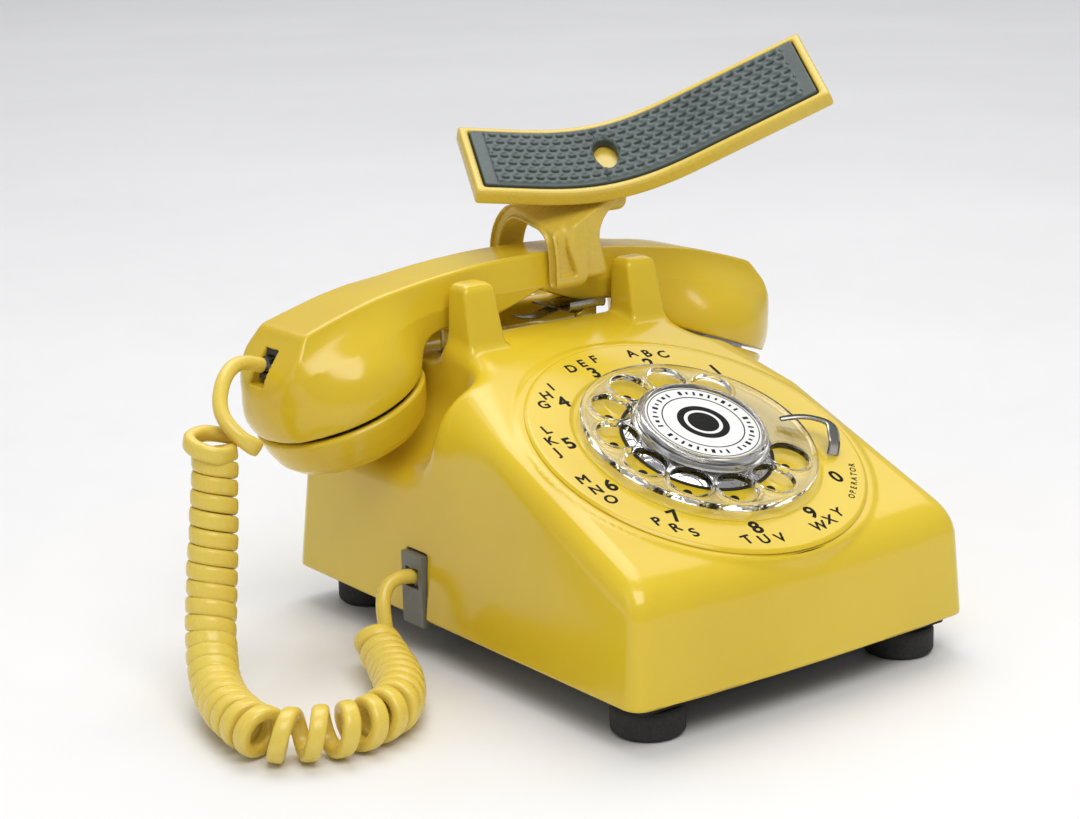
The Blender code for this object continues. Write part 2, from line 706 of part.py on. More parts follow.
handset_bm = field_mesh(handset_field, (-112.0, CRADLE_Y - 34.0, 70.0), (112.0, CRADLE_Y + 34.0, 126.0), 6.0)
handset = make_object("handset_body", handset_bm, yellow)
decimate(handset, 0.6)
cavities = []
for side in (-1, 1):
    cavities.append(disc(cap_frame(side), 24.0, -2.0, 10.0, 28))
cavities.append(slab((-HANDSET_END - 6, CRADLE_Y - 4.4, 92.0), (-HANDSET_END + 12, CRADLE_Y + 4.4, 103.0)))
cut_solids(handset, cavities)
for side, name in ((-1, "transmitter"), (1, "receiver")):
    place = cap_frame(side)
    profile = [
        (0.0, -16.6), (CAP_R - 7.0, -16.0), (CAP_R - 3.0, -13.5), (CAP_R - 0.4, -8.0), (CAP_R + 0.7, -2.0),
        (CAP_R + 0.4, -0.4), (CAP_R - 1.8, -0.4), (CAP_R - 2.4, -8.0), (CAP_R - 4.8, -11.6), (CAP_R - 7.6, -13.8),
        (0.0, -14.4),
    ]
    cap = make_object(name + "_cap", turned(profile, place, 28), yellow)
    ports = []
    for i in range(6):
        angle = math.radians(60 * i)
        spot = place @ Matrix.Translation((8.0 * math.cos(angle), 8.0 * math.sin(angle), 0.0))
        ports.append(disc(spot, 1.3, -18.0, -12.0, 8))
    cut_solids(cap, ports)
    make_object(name + "_unit", disc(place, 22.0, -13.0, 6.0 if side > 0 else -2.0, 32, 1.0), steel)

SOCKET = Vector((-HANDSET_END + 1.0, CRADLE_Y, 97.5))
plug = make_object("handset_jack", slab((SOCKET.x, CRADLE_Y - 4.0, 92.4), (SOCKET.x + 10.6, CRADLE_Y + 4.0, 102.6)), grey)
cut_solids(plug, [slab((SOCKET.x - 2, CRADLE_Y - 3.2, 94.0), (SOCKET.x + 8, CRADLE_Y + 3.2, 100.6))])

# ---------------------------------------------------------------- shoulder rest
BRACKET_LOW = 112.5
side_frame = Matrix(((0, 0, 1), (1, 0, 0), (0, 1, 0))).to_4x4()
ARCH_X = (2.0, 14.0)
LEG_X = (9.5, 24.5)
arch_points = [
    (38.4, BRACKET_LOW), (34.4, BRACKET_LOW), (34.4, 128.0), (37.0, 136.0), (44.0, 140.6), (62.0, 140.6),
    (70.0, 136.0), (74.4, 127.0), (75.0, 112.0), (67.8, 112.0), (67.4, 124.0), (63.0, 131.5), (53.0, 135.0),
    (43.5, 131.5), (39.4, 124.0),
]
arch = extrude_outline(arch_points, side_frame, *ARCH_X)
leg = slab((LEG_X[0], 33.4, BRACKET_LOW), (LEG_X[1], 38.0, 137.0))
head = slab((10.0, 37.0, 133.6), (38.0, 60.0, 144.0))
bracket = join_solids("rest_bracket", [arch, leg, head], yellow)

REST_ALONG = Vector((0.811, -0.523, 0.261)).normalized()
REST_FACE = Vector((-0.443, -0.258, 0.858))
REST_FACE = (REST_FACE - REST_ALONG * REST_FACE.dot(REST_ALONG)).normalized()
REST_ACROSS = REST_FACE.cross(REST_ALONG)
REST_MID = Vector((32.5, 44.0, 150.5))


def rest_slope(u):
    """The tray is straight at both ends and bends in between; the angle is in radians."""
    t = min(max((u + REST_BEND) / (2.0 * REST_BEND), 0.0), 1.0)
    t = t * t * (3.0 - 2.0 * t)
    return REST_LOW_ANGLE + (REST_HIGH_ANGLE - REST_LOW_ANGLE) * t


def bent(u, v, w):
    """A point of the tray: u along its length, v across, w out of its face."""
    along = 0.0
    out = 0.0
    steps = 24
    for i in range(steps):
        slope = rest_slope(u * (i + 0.5) / steps)
        along += math.cos(slope) * u / steps
        out += math.sin(slope) * u / steps
    slope = rest_slope(u)
    along -= math.sin(slope) * w
    out += math.cos(slope) * w
    return REST_MID + REST_ALONG * along + REST_ACROSS * v + REST_FACE * out


def bent_slab(u0, u1, v0, v1, w0, w1, steps=14):
    bm = bmesh.new()
    rows = []
    for i in range(steps + 1):
        u = u0 + (u1 - u0) * i / steps
        rows.append([bm.verts.new(bent(u, v, w)) for v, w in ((v0, w0), (v1, w0), (v1, w1), (v0, w1))])
    for a, b in zip(rows, rows[1:]):
        for i in range(4):
            j = (i + 1) % 4
            bm.faces.new((a[i], a[j], b[j], b[i]))
    bm.faces.new(rows[0][::-1])
    bm.faces.new(rows[-1])
    return bm


half_v = REST_WIDTH / 2.0
tray = make_object("rest_tray", bent_slab(-REST_LEFT, REST_RIGHT, -half_v, half_v, -2.6, 3.0), yellow, REST_MID)
cut_solids(tray, [bent_slab(-REST_LEFT + 3, REST_RIGHT - 3, -half_v + 3, half_v - 3, 0.0, 6.0)], REST_MID)
pad = make_object("rest_pad", bent_slab(-REST_LEFT + 3.4, REST_RIGHT - 3.4, -half_v + 3.4, half_v - 3.4, 0.3, 4.6), foam, REST_MID)
swivel = Matrix((REST_ALONG, REST_ACROSS, REST_FACE)).transposed().to_4x4()
swivel.translation = REST_MID
cut_solids(pad, [disc(swivel, 5.0, -3.0, 12.0, 20)], REST_MID)
cut_solids(bracket, [disc(swivel, 48.0, REST_FLOOR, 30.0)])

CLIP_PIVOT = Vector((BRACKET_X, 36.6, 108.2))
clip = box((BRACKET_X, 47.0, 101.6), (16.0, 22.0, 0.9), 0.0)
make_object("rest_clip", clip, steel, CLIP_PIVOT)
make_object("clip_rivet", disc(at(BRACKET_X, 44.0), 3.4, 98.6, 100.8, 20), steel, CLIP_PIVOT)

# ---------------------------------------------------------------- the cord
COIL_TOP = [
    (-131.0, 36.0, 84.0), (-132.5, 34.5, 72.0), (-134.5, 33.0, 58.0), (-137.0, 31.0, 44.0), (-140.0, 28.0, 31.0),
    (-144.0, 22.0, 18.5), (-149.0, 11.0, 10.5), (-154.0, -4.0, 9.0),
]
COIL_FLOOR = [
    (-154.5, -7.5, 9.0), (-156.0, -16.0, 8.8), (-152.5, -27.0, 8.8), (-144.0, -34.0, 8.8), (-134.0, -37.5, 8.8),
    (-123.0, -37.0, 8.8), (-111.5, -31.5, 8.8), (-102.0, -19.0, 8.8), (-95.0, -4.0, 9.0), (-91.0, 9.0, 11.0),
    (-88.0, 18.0, 17.0),
]
SOCKET_WIRE = [
    (SOCKET.x - 1.0, CRADLE_Y, 97.5), (-113.0, 51.0, 101.0), (-119.0, 46.0, 101.0), (-124.0, 41.0, 96.0),
    (-125.5, 38.0, 90.0), (-127.0, 36.5, 86.5),
]
BASE_WIRE = [
    (-86.0, 20.5, 23.0), (-82.0, 21.5, 27.5), (-76.0, 21.0, 28.5), (-70.5, JACK_Y, 26.5),
]
tube("cord_hanging", smooth_path(COIL_TOP, 15.0), COIL_R, cord_yellow)
tube("cord_lying", smooth_path(COIL_FLOOR, 15.0), COIL_R, cord_yellow)
tube("cord_handset_end", smooth_path(SOCKET_WIRE, 5.0), WIRE_R, cord_yellow)
tube("cord_base_end", smooth_path(BASE_WIRE, 5.0), WIRE_R, cord_yellow)
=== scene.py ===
"""The finished look of the desk telephone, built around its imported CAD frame.

Lengths are millimetres in the drawing functions; every piece is scaled to metres as it is made.
"""
import math

import bmesh
import bpy
import numpy as np
from mathutils import Matrix, Vector


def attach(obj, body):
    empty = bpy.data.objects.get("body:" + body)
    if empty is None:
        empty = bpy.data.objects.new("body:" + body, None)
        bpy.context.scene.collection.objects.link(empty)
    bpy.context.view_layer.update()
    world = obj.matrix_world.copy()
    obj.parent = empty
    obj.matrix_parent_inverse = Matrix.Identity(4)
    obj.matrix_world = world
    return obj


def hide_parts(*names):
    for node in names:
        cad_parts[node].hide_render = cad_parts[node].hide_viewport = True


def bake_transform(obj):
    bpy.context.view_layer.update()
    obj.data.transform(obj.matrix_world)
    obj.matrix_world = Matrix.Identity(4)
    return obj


MM = 0.001
FULL_TURN = 2.0 * math.pi

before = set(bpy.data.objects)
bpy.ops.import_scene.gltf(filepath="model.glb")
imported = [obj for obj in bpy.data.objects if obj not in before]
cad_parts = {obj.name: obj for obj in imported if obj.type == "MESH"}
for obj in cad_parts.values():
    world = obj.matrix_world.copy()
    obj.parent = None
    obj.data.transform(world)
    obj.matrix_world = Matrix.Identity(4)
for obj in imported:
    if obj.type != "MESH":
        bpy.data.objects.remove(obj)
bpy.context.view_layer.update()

# ---- driving sizes, close to the CAD's own
BASE_Z = 13.0
HALF_W = 69.6
HALF_D = 95.7
SIDE_DRAFT = 0.07
FRONT_DRAFT = 0.05
WALL = 3.0
DIAL_CENTRE = Vector((0.0, -40.2, 70.7))
DIAL_TILT = math.radians(23.3)
PLATE_R = 56.4
WHEEL_R = 39.0
HOLE_RING_R = 29.2
HOLE_R = 6.6
HOLE_FIRST = 43.8
HOLE_STEP = 30.3
CARD_R = 19.1
CRADLE_Y = 53.0
CREST_Z = 100.5
EAR_Z = 118.5
EAR_REAR_Z = 108.0
EAR_IN = 28.4
EAR_OUT = 40.6
EAR_FRONT_Y = 28.0
EAR_THICK = 10.5
PLUNGER_X = 29.0
CAP_X = 75.0
CAP_R = 28.6
CAP_TILT = math.radians(20.0)
SEAM_Z = 81.8
HANDLE_TOP = 122.5
HANDLE_HALF = 13.0
HANDSET_END = 106.0
REST_LEFT = 50.0
REST_RIGHT = 79.0
REST_HALF = 20.0
REST_BEND = 34.0
REST_LOW_ANGLE = math.radians(-23.0)
REST_HIGH_ANGLE = math.radians(11.5)
REST_MID = Vector((32.5, 44.0, 150.5))
BRACKET_X = 17.0
COIL_R = 8.2
WIRE_R = 2.45
JACK_Y = 20.6
JACK_Z = 23.0

# ---- camera
CAMERA_AT = Vector((-449.15, -560.07, 257.17))
CAMERA_YAW = math.radians(36.70)
CAMERA_PITCH = math.radians(14.19)
CAMERA_ROLL = math.radians(-1.34)
LENS = 74.19
SENSOR_WIDTH = 36.0


def add_object(name, data):
    obj = bpy.data.objects.new(name, data)
    bpy.context.scene.collection.objects.link(obj)
    return obj


def make_camera():
    ahead = Vector((math.sin(CAMERA_YAW), math.cos(CAMERA_YAW), 0.0)) * math.cos(CAMERA_PITCH)
    ahead.z = -math.sin(CAMERA_PITCH)
    right = Vector((math.cos(CAMERA_YAW), -math.sin(CAMERA_YAW), 0.0))
    up = right.cross(ahead)
    side = right * math.cos(CAMERA_ROLL) + up * math.sin(CAMERA_ROLL)
    above = up * math.cos(CAMERA_ROLL) - right * math.sin(CAMERA_ROLL)
    data = bpy.data.cameras.new("camera")
    data.lens = LENS
    data.sensor_width = SENSOR_WIDTH
    data.sensor_fit = "HORIZONTAL"
    data.clip_start = 0.05
    data.clip_end = 20.0
    camera = add_object("camera", data)
    turn = Matrix((side, above, -ahead)).transposed().to_4x4()
    turn.translation = CAMERA_AT * MM
    camera.matrix_world = turn
    bpy.context.scene.camera = camera


make_camera()


# ---- materials
class Nodes:
    """A short way to write a material's node tree."""

    def __init__(self, name):
        self.mat = bpy.data.materials.new(name)
        self.mat.use_nodes = True
        self.tree = self.mat.node_tree
        self.shader = self.tree.nodes["Principled BSDF"]
        coord = self.tree.nodes.new("ShaderNodeTexCoord")
        self.place = coord.outputs["Object"]

    def set(self, **values):
        for key, value in values.items():
            self.shader.inputs[key.replace("_", " ")].default_value = value

    def add(self, kind, **values):
        """A new node; in the inputs' names _ stands for a space."""
        node = self.tree.nodes.new("ShaderNode" + kind)
        for key, value in values.items():
            node.inputs[key.replace("_", " ")].default_value = value
        return node

    def stretched(self, scale):
        node = self.add("Mapping", Scale=scale)
        self.tree.links.new(self.place, node.inputs["Vector"])
        return node.outputs["Vector"]

    def noise(self, scale, detail=4.0, rough=0.5, vector=None):
        node = self.add("TexNoise", Scale=scale, Detail=detail, Roughness=rough)
        self.tree.links.new(vector or self.place, node.inputs["Vector"])
        return node.outputs["Fac"]

    def ramp(self, fac, stops):
        node = self.add("ValToRGB")
        ramp = node.color_ramp
        while len(ramp.elements) < len(stops):
            ramp.elements.new(0.5)
        for element, (where, colour) in zip(ramp.elements, stops):
            element.position = where
            element.color = (*colour, 1.0)
        self.tree.links.new(fac, node.inputs["Fac"])
        return node.outputs["Color"]

    def spread(self, fac, low, high):
        node = self.add("MapRange", From_Min=0.3, From_Max=0.7, To_Min=low, To_Max=high)
        self.tree.links.new(fac, node.inputs["Value"])
        return node.outputs["Result"]

    def colour(self, socket):
        self.tree.links.new(socket, self.shader.inputs["Base Color"])

    def rough(self, socket):
        self.tree.links.new(socket, self.shader.inputs["Roughness"])

    def bump(self, height, distance, strength=1.0):
        node = self.add("Bump", Distance=distance, Strength=strength)
        self.tree.links.new(height, node.inputs["Height"])
        self.tree.links.new(node.outputs["Normal"], self.shader.inputs["Normal"])


def glossy_plastic(name, pale, mid, deep, gloss=(0.13, 0.24), ripple=0.00012):
    """Old moulded plastic: a slow drift of tone, faint hairlines and a slightly uneven polish."""
    n = Nodes(name)
    n.set(IOR=1.5, Coat_Weight=0.1, Coat_Roughness=0.05, Subsurface_Weight=0.04, Subsurface_Scale=0.002)
    tone = n.noise(9.0, 3.0)
    n.colour(n.ramp(tone, [(0.28, deep), (0.5, mid), (0.72, pale)]))
    hairs = n.noise(60.0, 6.0, 0.7, n.stretched((1.0, 14.0, 3.0)))
    n.rough(n.spread(hairs, *gloss))
    n.bump(n.noise(38.0, 2.0), ripple, 0.6)
    return n.mat


def metal(name, pale, deep, rough, grain=(1.0, 1.0, 40.0), scale=140.0, depth=0.00004):
    n = Nodes(name)
    n.set(Metallic=1.0)
    lines = n.noise(scale, 5.0, 0.65, n.stretched(grain))
    n.colour(n.ramp(n.noise(35.0, 4.0), [(0.3, deep), (0.7, pale)]))
    n.rough(n.spread(lines, *rough))
    n.bump(lines, depth, 0.5)
    return n.mat


def matt(name, pale, deep, rough, scale=160.0, depth=0.00015, **values):
    n = Nodes(name)
    n.set(**values)
    n.colour(n.ramp(n.noise(scale * 0.25, 5.0), [(0.3, deep), (0.7, pale)]))
    grain = n.noise(scale * 6.0, 4.0, 0.6)
    n.rough(n.spread(grain, *rough))
    n.bump(grain, depth, 0.7)
    return n.mat


def clear_plastic(name, tint, rough):
    n = Nodes(name)
    n.set(IOR=1.47, Transmission_Weight=1.0)
    wear = n.noise(70.0, 5.0, 0.7, n.stretched((1.0, 6.0, 2.0)))
    n.colour(n.ramp(n.noise(20.0), [(0.3, tuple(0.94 * c for c in tint)), (0.7, tint)]))
    n.rough(n.spread(wear, *rough))
    n.bump(wear, 0.00003, 0.4)
    return n.mat


# each yellow plastic in three tones: pale, middle and deep
YELLOW = ((0.78, 0.575, 0.034), (0.735, 0.53, 0.026), (0.68, 0.475, 0.021))
CORD_YELLOW = ((0.84, 0.66, 0.12), (0.80, 0.61, 0.10), (0.74, 0.55, 0.085))
REST_YELLOW = ((0.76, 0.57, 0.08), (0.71, 0.52, 0.065), (0.64, 0.46, 0.055))
yellow = glossy_plastic("moulded_yellow", *YELLOW)
cord_yellow = glossy_plastic("cord_yellow", *CORD_YELLOW, gloss=(0.22, 0.36), ripple=0.0002)
bracket_yellow = glossy_plastic("rest_yellow", *REST_YELLOW, gloss=(0.2, 0.34), ripple=0.0002)
# Black rubber for the feet; the same material also paints the shade in the gap round the number plate and
# the shadow beside the dial hub.
black_rubber = matt("black_rubber", (0.022, 0.022, 0.022), (0.011, 0.011, 0.011), (0.62, 0.85))
dark_plastic = matt("dark_plastic", (0.045, 0.045, 0.043), (0.025, 0.025, 0.025), (0.4, 0.6))
grey_plastic = matt("grey_plastic", (0.20, 0.20, 0.17), (0.13, 0.13, 0.115), (0.34, 0.55))
foam = matt("foam_rubber", (0.085, 0.112, 0.107), (0.055, 0.075, 0.071), (0.42, 0.62),
            scale=220.0, depth=0.0002)
steel = metal("zinc_steel", (0.50, 0.50, 0.50), (0.36, 0.36, 0.37), (0.28, 0.5))
chrome = metal("chrome", (0.80, 0.80, 0.81), (0.68, 0.68, 0.69), (0.05, 0.14), depth=0.00001)
worn_steel = metal("worn_steel", (0.42, 0.41, 0.37), (0.25, 0.245, 0.22), (0.16, 0.34),
                   grain=(14.0, 1.0, 1.0))
brass = metal("brass", (0.66, 0.53, 0.27), (0.48, 0.37, 0.17), (0.22, 0.42))
copper = metal("enamelled_copper", (0.60, 0.28, 0.13), (0.40, 0.17, 0.08), (0.25, 0.4),
               grain=(60.0, 1.0, 1.0))
clear = clear_plastic("clear_plastic", (0.97, 0.965, 0.94), (0.01, 0.06))
smoky = clear_plastic("clear_ring", (0.90, 0.90, 0.90), (0.02, 0.09))
card_white = matt("card_white", (0.86, 0.86, 0.84), (0.80, 0.80, 0.78), (0.3, 0.45),
                  scale=90.0, depth=0.00002)
ink = matt("printed_ink", (0.014, 0.013, 0.012), (0.009, 0.009, 0.009), (0.6, 0.8), depth=0.00002,
           Specular_IOR_Level=0.12)


# ---- making pieces
SHARP_ANGLE = 35.0  # edges that turn more than this stay sharp


def dress(obj, mat, body, replaces=()):
    """Give a piece its material and its body, and hide the CAD nodes it stands for."""
    obj.data.materials.clear()
    obj.data.materials.append(mat)
    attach(obj, body)
    if replaces:
        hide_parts(*replaces)
    return obj


def shade(mesh, sharp):
    """Smooth shading, with a hard line at every edge that turns more than sharp degrees."""
    mesh.shade_smooth()
    mesh.set_sharp_from_angle(angle=math.radians(sharp))


def from_bmesh(name, bm, sharp=SHARP_ANGLE):
    bmesh.ops.recalc_face_normals(bm, faces=bm.faces[:])
    mesh = bpy.data.meshes.new(name)
    bmesh.ops.scale(bm, verts=bm.verts[:], vec=(MM, MM, MM))
    bm.to_mesh(mesh)
    bm.free()
    shade(mesh, sharp)
    return add_object(name, mesh)


def bake(obj):
    """Apply every modifier."""
    graph = bpy.context.evaluated_depsgraph_get()
    mesh = bpy.data.meshes.new_from_object(obj.evaluated_get(graph), depsgraph=graph)
    obj.modifiers.clear()
    old = obj.data
    obj.data = mesh
    bpy.data.meshes.remove(old)
    return obj


def soften(obj, width, segments=3):
    """Round the sharp edges with a bevel that stays a modifier."""
    mod = obj.modifiers.new("soften", "BEVEL")
    mod.width = width * MM
    mod.segments = segments
    mod.limit_method = "ANGLE"
    mod.angle_limit = math.radians(SHARP_ANGLE)
    mod.harden_normals = True
    return obj


def cut(obj, cutter_bm):
    """Take the cutter's shape out of a piece."""
    cutter = from_bmesh("cutter", cutter_bm)
    mod = obj.modifiers.new("cut", "BOOLEAN")
    mod.operation = "DIFFERENCE"
    mod.solver = "EXACT"
    mod.object = cutter
    bake(obj)
    bpy.data.objects.remove(cutter)
    shade(obj.data, SHARP_ANGLE)
    return obj


def frame_matrix(origin, axis):
    """A frame at origin whose Z runs along axis and whose X is level."""
    z = Vector(axis).normalized()
    x = Vector((0.0, 0.0, 1.0)).cross(z).normalized()
    mat = Matrix((x, z.cross(x), z)).transposed().to_4x4()
    mat.translation = Vector(origin)
    return mat


def at(x, y, z=0.0):
    return Matrix.Translation((x, y, z))


def rounded(profile, radius, steps=4):
    """A closed (radius, height) outline with its corners off the axis rounded."""
    out = []
    count = len(profile)
    for i, point in enumerate(profile):
        here = Vector(point)
        back = Vector(profile[i - 1]) - here
        on = Vector(profile[(i + 1) % count]) - here
        if here.x < 1e-6:
            out.append(tuple(here))
            continue
        reach = min(radius, 0.45 * back.length, 0.45 * on.length)
        start = here + back.normalized() * reach
        end = here + on.normalized() * reach
        for k in range(steps + 1):
            t = k / steps
            spot = start * (1.0 - t) ** 2 + here * 2.0 * t * (1.0 - t) + end * t * t
            out.append((spot.x, spot.y))
    return out


def turned(profile, place, steps=96, bend=0.3):
    """Revolve a closed (radius, height) outline about the frame's Z, with softened corners."""
    profile = rounded(profile, bend)
    bm = bmesh.new()
    rings = []
    for radius, height in profile:
        if radius < 1e-6:
            rings.append([bm.verts.new(place @ Vector((0.0, 0.0, height)))])
            continue
        ring = []
        for i in range(steps):
            angle = FULL_TURN * i / steps
            spot = Vector((radius * math.cos(angle), radius * math.sin(angle), height))
            ring.append(bm.verts.new(place @ spot))
        rings.append(ring)
    count = len(rings)
    solid = profile[0][0] < 1e-6
    for k in range(count - 1 if solid else count):
        low = rings[k]
        high = rings[(k + 1) % count]
        for i in range(steps):
            j = (i + 1) % steps
            if len(low) == 1:
                bm.faces.new((low[0], high[j], high[i]))
            elif len(high) == 1:
                bm.faces.new((low[i], low[j], high[0]))
            else:
                bm.faces.new((low[i], low[j], high[j], high[i]))
    return bm


def skin(bm, rings):
    """Close a tube of equal rings, with a cap at each end."""
    for low, high in zip(rings, rings[1:]):
        for i in range(len(low)):
            j = (i + 1) % len(low)
            bm.faces.new((low[i], low[j], high[j], high[i]))
    bm.faces.new(rings[0][::-1])
    bm.faces.new(rings[-1])


def disc(place, radius, low, high, steps=64, bend=0.01):
    return turned([(0.0, low), (radius, low), (radius, high), (0.0, high)], place, steps, bend)


def lathe(name, profile, place, mat, body, replaces=(), steps=96, bend=0.3):
    obj = from_bmesh(name, turned(profile, place, steps, bend), 50.0)
    return dress(obj, mat, body, replaces)


def box(centre, size, turn=None):
    bm = bmesh.new()
    bmesh.ops.create_cube(bm, size=1.0)
    for vert in bm.verts:
        vert.co = Vector((vert.co.x * size[0], vert.co.y * size[1], vert.co.z * size[2]))
    if turn is not None:
        bm.transform(turn.to_4x4())
    bmesh.ops.translate(bm, verts=bm.verts[:], vec=Vector(centre))
    return bm


def joined(parts):
    """Several bmeshes in one, kept as separate shells."""
    out = bmesh.new()
    for bm in parts:
        scratch = bpy.data.meshes.new("scratch")
        bm.to_mesh(scratch)
        bm.free()
        out.from_mesh(scratch)
        bpy.data.meshes.remove(scratch)
    return out


def smooth_path(knots, spacing):
    """Even points along a smooth curve through the knots."""
    pts = [Vector(k) for k in knots]
    fine = []
    for i in range(len(pts) - 1):
        p0 = pts[max(i - 1, 0)]
        p1 = pts[i]
        p2 = pts[i + 1]
        p3 = pts[min(i + 2, len(pts) - 1)]
        for s in range(24):
            t = s / 24.0
            a = 2.0 * p1
            b = (p2 - p0) * t
            c = (2.0 * p0 - 5.0 * p1 + 4.0 * p2 - p3) * t * t
            d = (3.0 * p1 - p0 - 3.0 * p2 + p3) * t * t * t
            fine.append((a + b + c + d) * 0.5)
    fine.append(pts[-1])
    lengths = [0.0]
    for a, b in zip(fine, fine[1:]):
        lengths.append(lengths[-1] + (b - a).length)
    count = max(2, round(lengths[-1] / spacing) + 1)
    out = []
    k = 0
    for i in range(count):
        want = lengths[-1] * i / (count - 1)
        while k < len(lengths) - 2 and lengths[k + 1] < want:
            k += 1
        part = (want - lengths[k]) / max(lengths[k + 1] - lengths[k], 1e-9)
        out.append(fine[k].lerp(fine[k + 1], min(max(part, 0.0), 1.0)))
    return out


# ---- distance fields
def smin(a, b, k):
    h = np.clip(0.5 + 0.5 * (b - a) / k, 0.0, 1.0)
    return b * (1.0 - h) + a * h - k * h * (1.0 - h)


def smax(a, b, k):
    return -smin(-a, -b, k)


def round_box(x, y, z, centre, half, r):
    qx = np.abs(x - centre[0]) - half[0] + r
    qy = np.abs(y - centre[1]) - half[1] + r
    qz = np.abs(z - centre[2]) - half[2] + r
    out = np.sqrt(np.maximum(qx, 0.0) ** 2 + np.maximum(qy, 0.0) ** 2 + np.maximum(qz, 0.0) ** 2)
    return out + np.minimum(np.maximum(qx, np.maximum(qy, qz)), 0.0) - r


def gradient(field, p, step=0.03):
    out = np.empty_like(p)
    for axis in range(3):
        lo = p.copy()
        hi = p.copy()
        lo[:, axis] -= step
        hi[:, axis] += step
        out[:, axis] = (field(*hi.T) - field(*lo.T)) / (2.0 * step)
    return out


def field_mesh(name, field, low, high, spacing, warp=None):
    """The zero surface of a field as a closed mesh.

    It has the field's own normals, unless warp bends it afterwards.
    """
    axes = [np.arange(a - spacing, b + 2.0 * spacing, spacing) for a, b in zip(low, high)]
    gx, gy, gz = np.meshgrid(*axes, indexing="ij")
    value = field(gx, gy, gz)
    inside = value < 0.0
    cells = tuple(n - 1 for n in value.shape)
    total = np.zeros(cells + (3,))
    hits = np.zeros(cells)
    crossings = []
    for axis in range(3):
        a = [slice(None)] * 3
        b = [slice(None)] * 3
        a[axis] = slice(0, -1)
        b[axis] = slice(1, None)
        va = value[tuple(a)]
        vb = value[tuple(b)]
        cross = inside[tuple(a)] != inside[tuple(b)]
        t = np.where(cross, va / np.where(cross, va - vb, 1.0), 0.0)
        crossings.append((cross, inside[tuple(a)]))
        others = [i for i in range(3) if i != axis]
        for da in (0, 1):
            for db in (0, 1):
                src = [slice(None)] * 3
                src[others[0]] = slice(da, cells[others[0]] + da)
                src[others[1]] = slice(db, cells[others[1]] + db)
                hit = cross[tuple(src)]
                hits += hit
                total[..., axis] += np.where(hit, t[tuple(src)], 0.0)
                total[..., others[0]] += np.where(hit, da, 0.0)
                total[..., others[1]] += np.where(hit, db, 0.0)
    used = hits > 0
    index = -np.ones(cells, dtype=np.int64)
    index[used] = np.arange(used.sum())
    start = np.array([ax[0] for ax in axes])
    points = start + spacing * (np.argwhere(used) + total[used] / hits[used][:, None])
    for _ in range(4):
        slope = gradient(field, points)
        size = np.maximum((slope * slope).sum(1), 0.2)
        move = -(field(*points.T) / size)[:, None] * slope
        length = np.linalg.norm(move, axis=1, keepdims=True)
        points += move * np.minimum(1.0, 0.35 * spacing / np.maximum(length, 1e-9))
    faces = []
    for axis in range(3):
        cross, starts_inside = crossings[axis]
        others = [i for i in range(3) if i != axis]
        found = np.argwhere(cross)
        ok = np.ones(len(found), dtype=bool)
        for o in others:
            ok &= (found[:, o] > 0) & (found[:, o] < cells[o])
        found = found[ok]
        corners = []
        for da, db in ((-1, -1), (0, -1), (0, 0), (-1, 0)):
            c = found.copy()
            c[:, others[0]] += da
            c[:, others[1]] += db
            corners.append(index[tuple(c.T)])
        quads = np.stack(corners, 1)
        turn = starts_inside[tuple(found.T)]
        if axis == 1:
            turn = ~turn
        quads[~turn] = quads[~turn][:, ::-1]
        faces.append(quads)
    if warp is not None:
        points = warp(points)
    mesh = bpy.data.meshes.new(name)
    mesh.from_pydata((points * MM).tolist(), [], np.concatenate(faces).tolist())
    mesh.shade_smooth()
    if warp is None:
        normals = gradient(field, points)
        normals /= np.maximum(np.linalg.norm(normals, axis=1, keepdims=True), 1e-9)
        mesh.normals_split_custom_set_from_vertices(normals.tolist())
    return add_object(name, mesh)


# ---- the cord, one wire from jack to jack
SOCKET = Vector((-HANDSET_END + 1.0, CRADLE_Y, 97.5))
COIL_TOP = [
    (-131.6, 35.3, 77.5), (-132.7, 34.5, 69.0), (-134.5, 33.0, 58.0), (-137.0, 31.0, 44.0),
    (-140.0, 28.0, 31.0), (-144.0, 22.0, 18.5), (-148.5, 11.0, 10.5), (-152.4, -4.0, 9.0),
]
COIL_FLOOR = [
    (-152.8, -7.5, 9.0), (-154.0, -16.0, 8.8), (-152.5, -27.0, 8.8), (-144.0, -34.0, 8.8),
    (-134.0, -37.5, 8.8), (-123.0, -37.0, 8.8), (-111.5, -31.5, 8.8), (-102.0, -19.0, 8.8),
    (-95.0, -4.0, 9.0), (-91.0, 9.0, 11.0), (-88.0, 18.0, 17.0),
]
# from the handset's jack down and once round, loosely, above the coil's first turn
SOCKET_WIRE = [
    (SOCKET.x + 1.5, CRADLE_Y, 97.5), (-109.5, 52.0, 99.4), (-115.5, 49.5, 99.6), (-121.0, 46.0, 97.0),
    (-125.2, 41.8, 92.3), (-127.0, 37.7, 88.2), (-126.6, 33.6, 84.6), (-124.2, 30.0, 80.8),
    (-121.3, 29.0, 78.3), (-119.4, 31.8, 77.6), (-121.0, 36.0, 79.0), (-126.0, 40.2, 80.8),
    (-132.0, 42.0, 82.0), (-138.0, 39.5, 81.5), (-139.0, 33.8, 80.0), (-134.0, 28.8, 77.8),
]
BASE_WIRE = [(-83.0, 18.5, 20.5), (-79.8, 20.8, 25.4), (-74.5, 21.0, 27.4), (-67.0, JACK_Y, 26.5)]
# (share of the coiled stretch, millimetres between turns)
PITCHES = (
    (0.0, 5.7), (0.24, 5.5), (0.36, 5.3), (0.46, 6.4), (0.56, 9.2), (0.66, 8.0), (0.76, 5.7),
    (0.90, 5.6), (0.96, 8.0), (1.0, 11.0),
)
AXIS_SPACING = 0.25
WIRE_SPACING = 1.2
STEPS_PER_TURN = 28
COIL_START = math.radians(-37.0)
WIRE_SIDES = 20
WIRE_DEEP = 1.85
WIRE_WIDE = 2.66


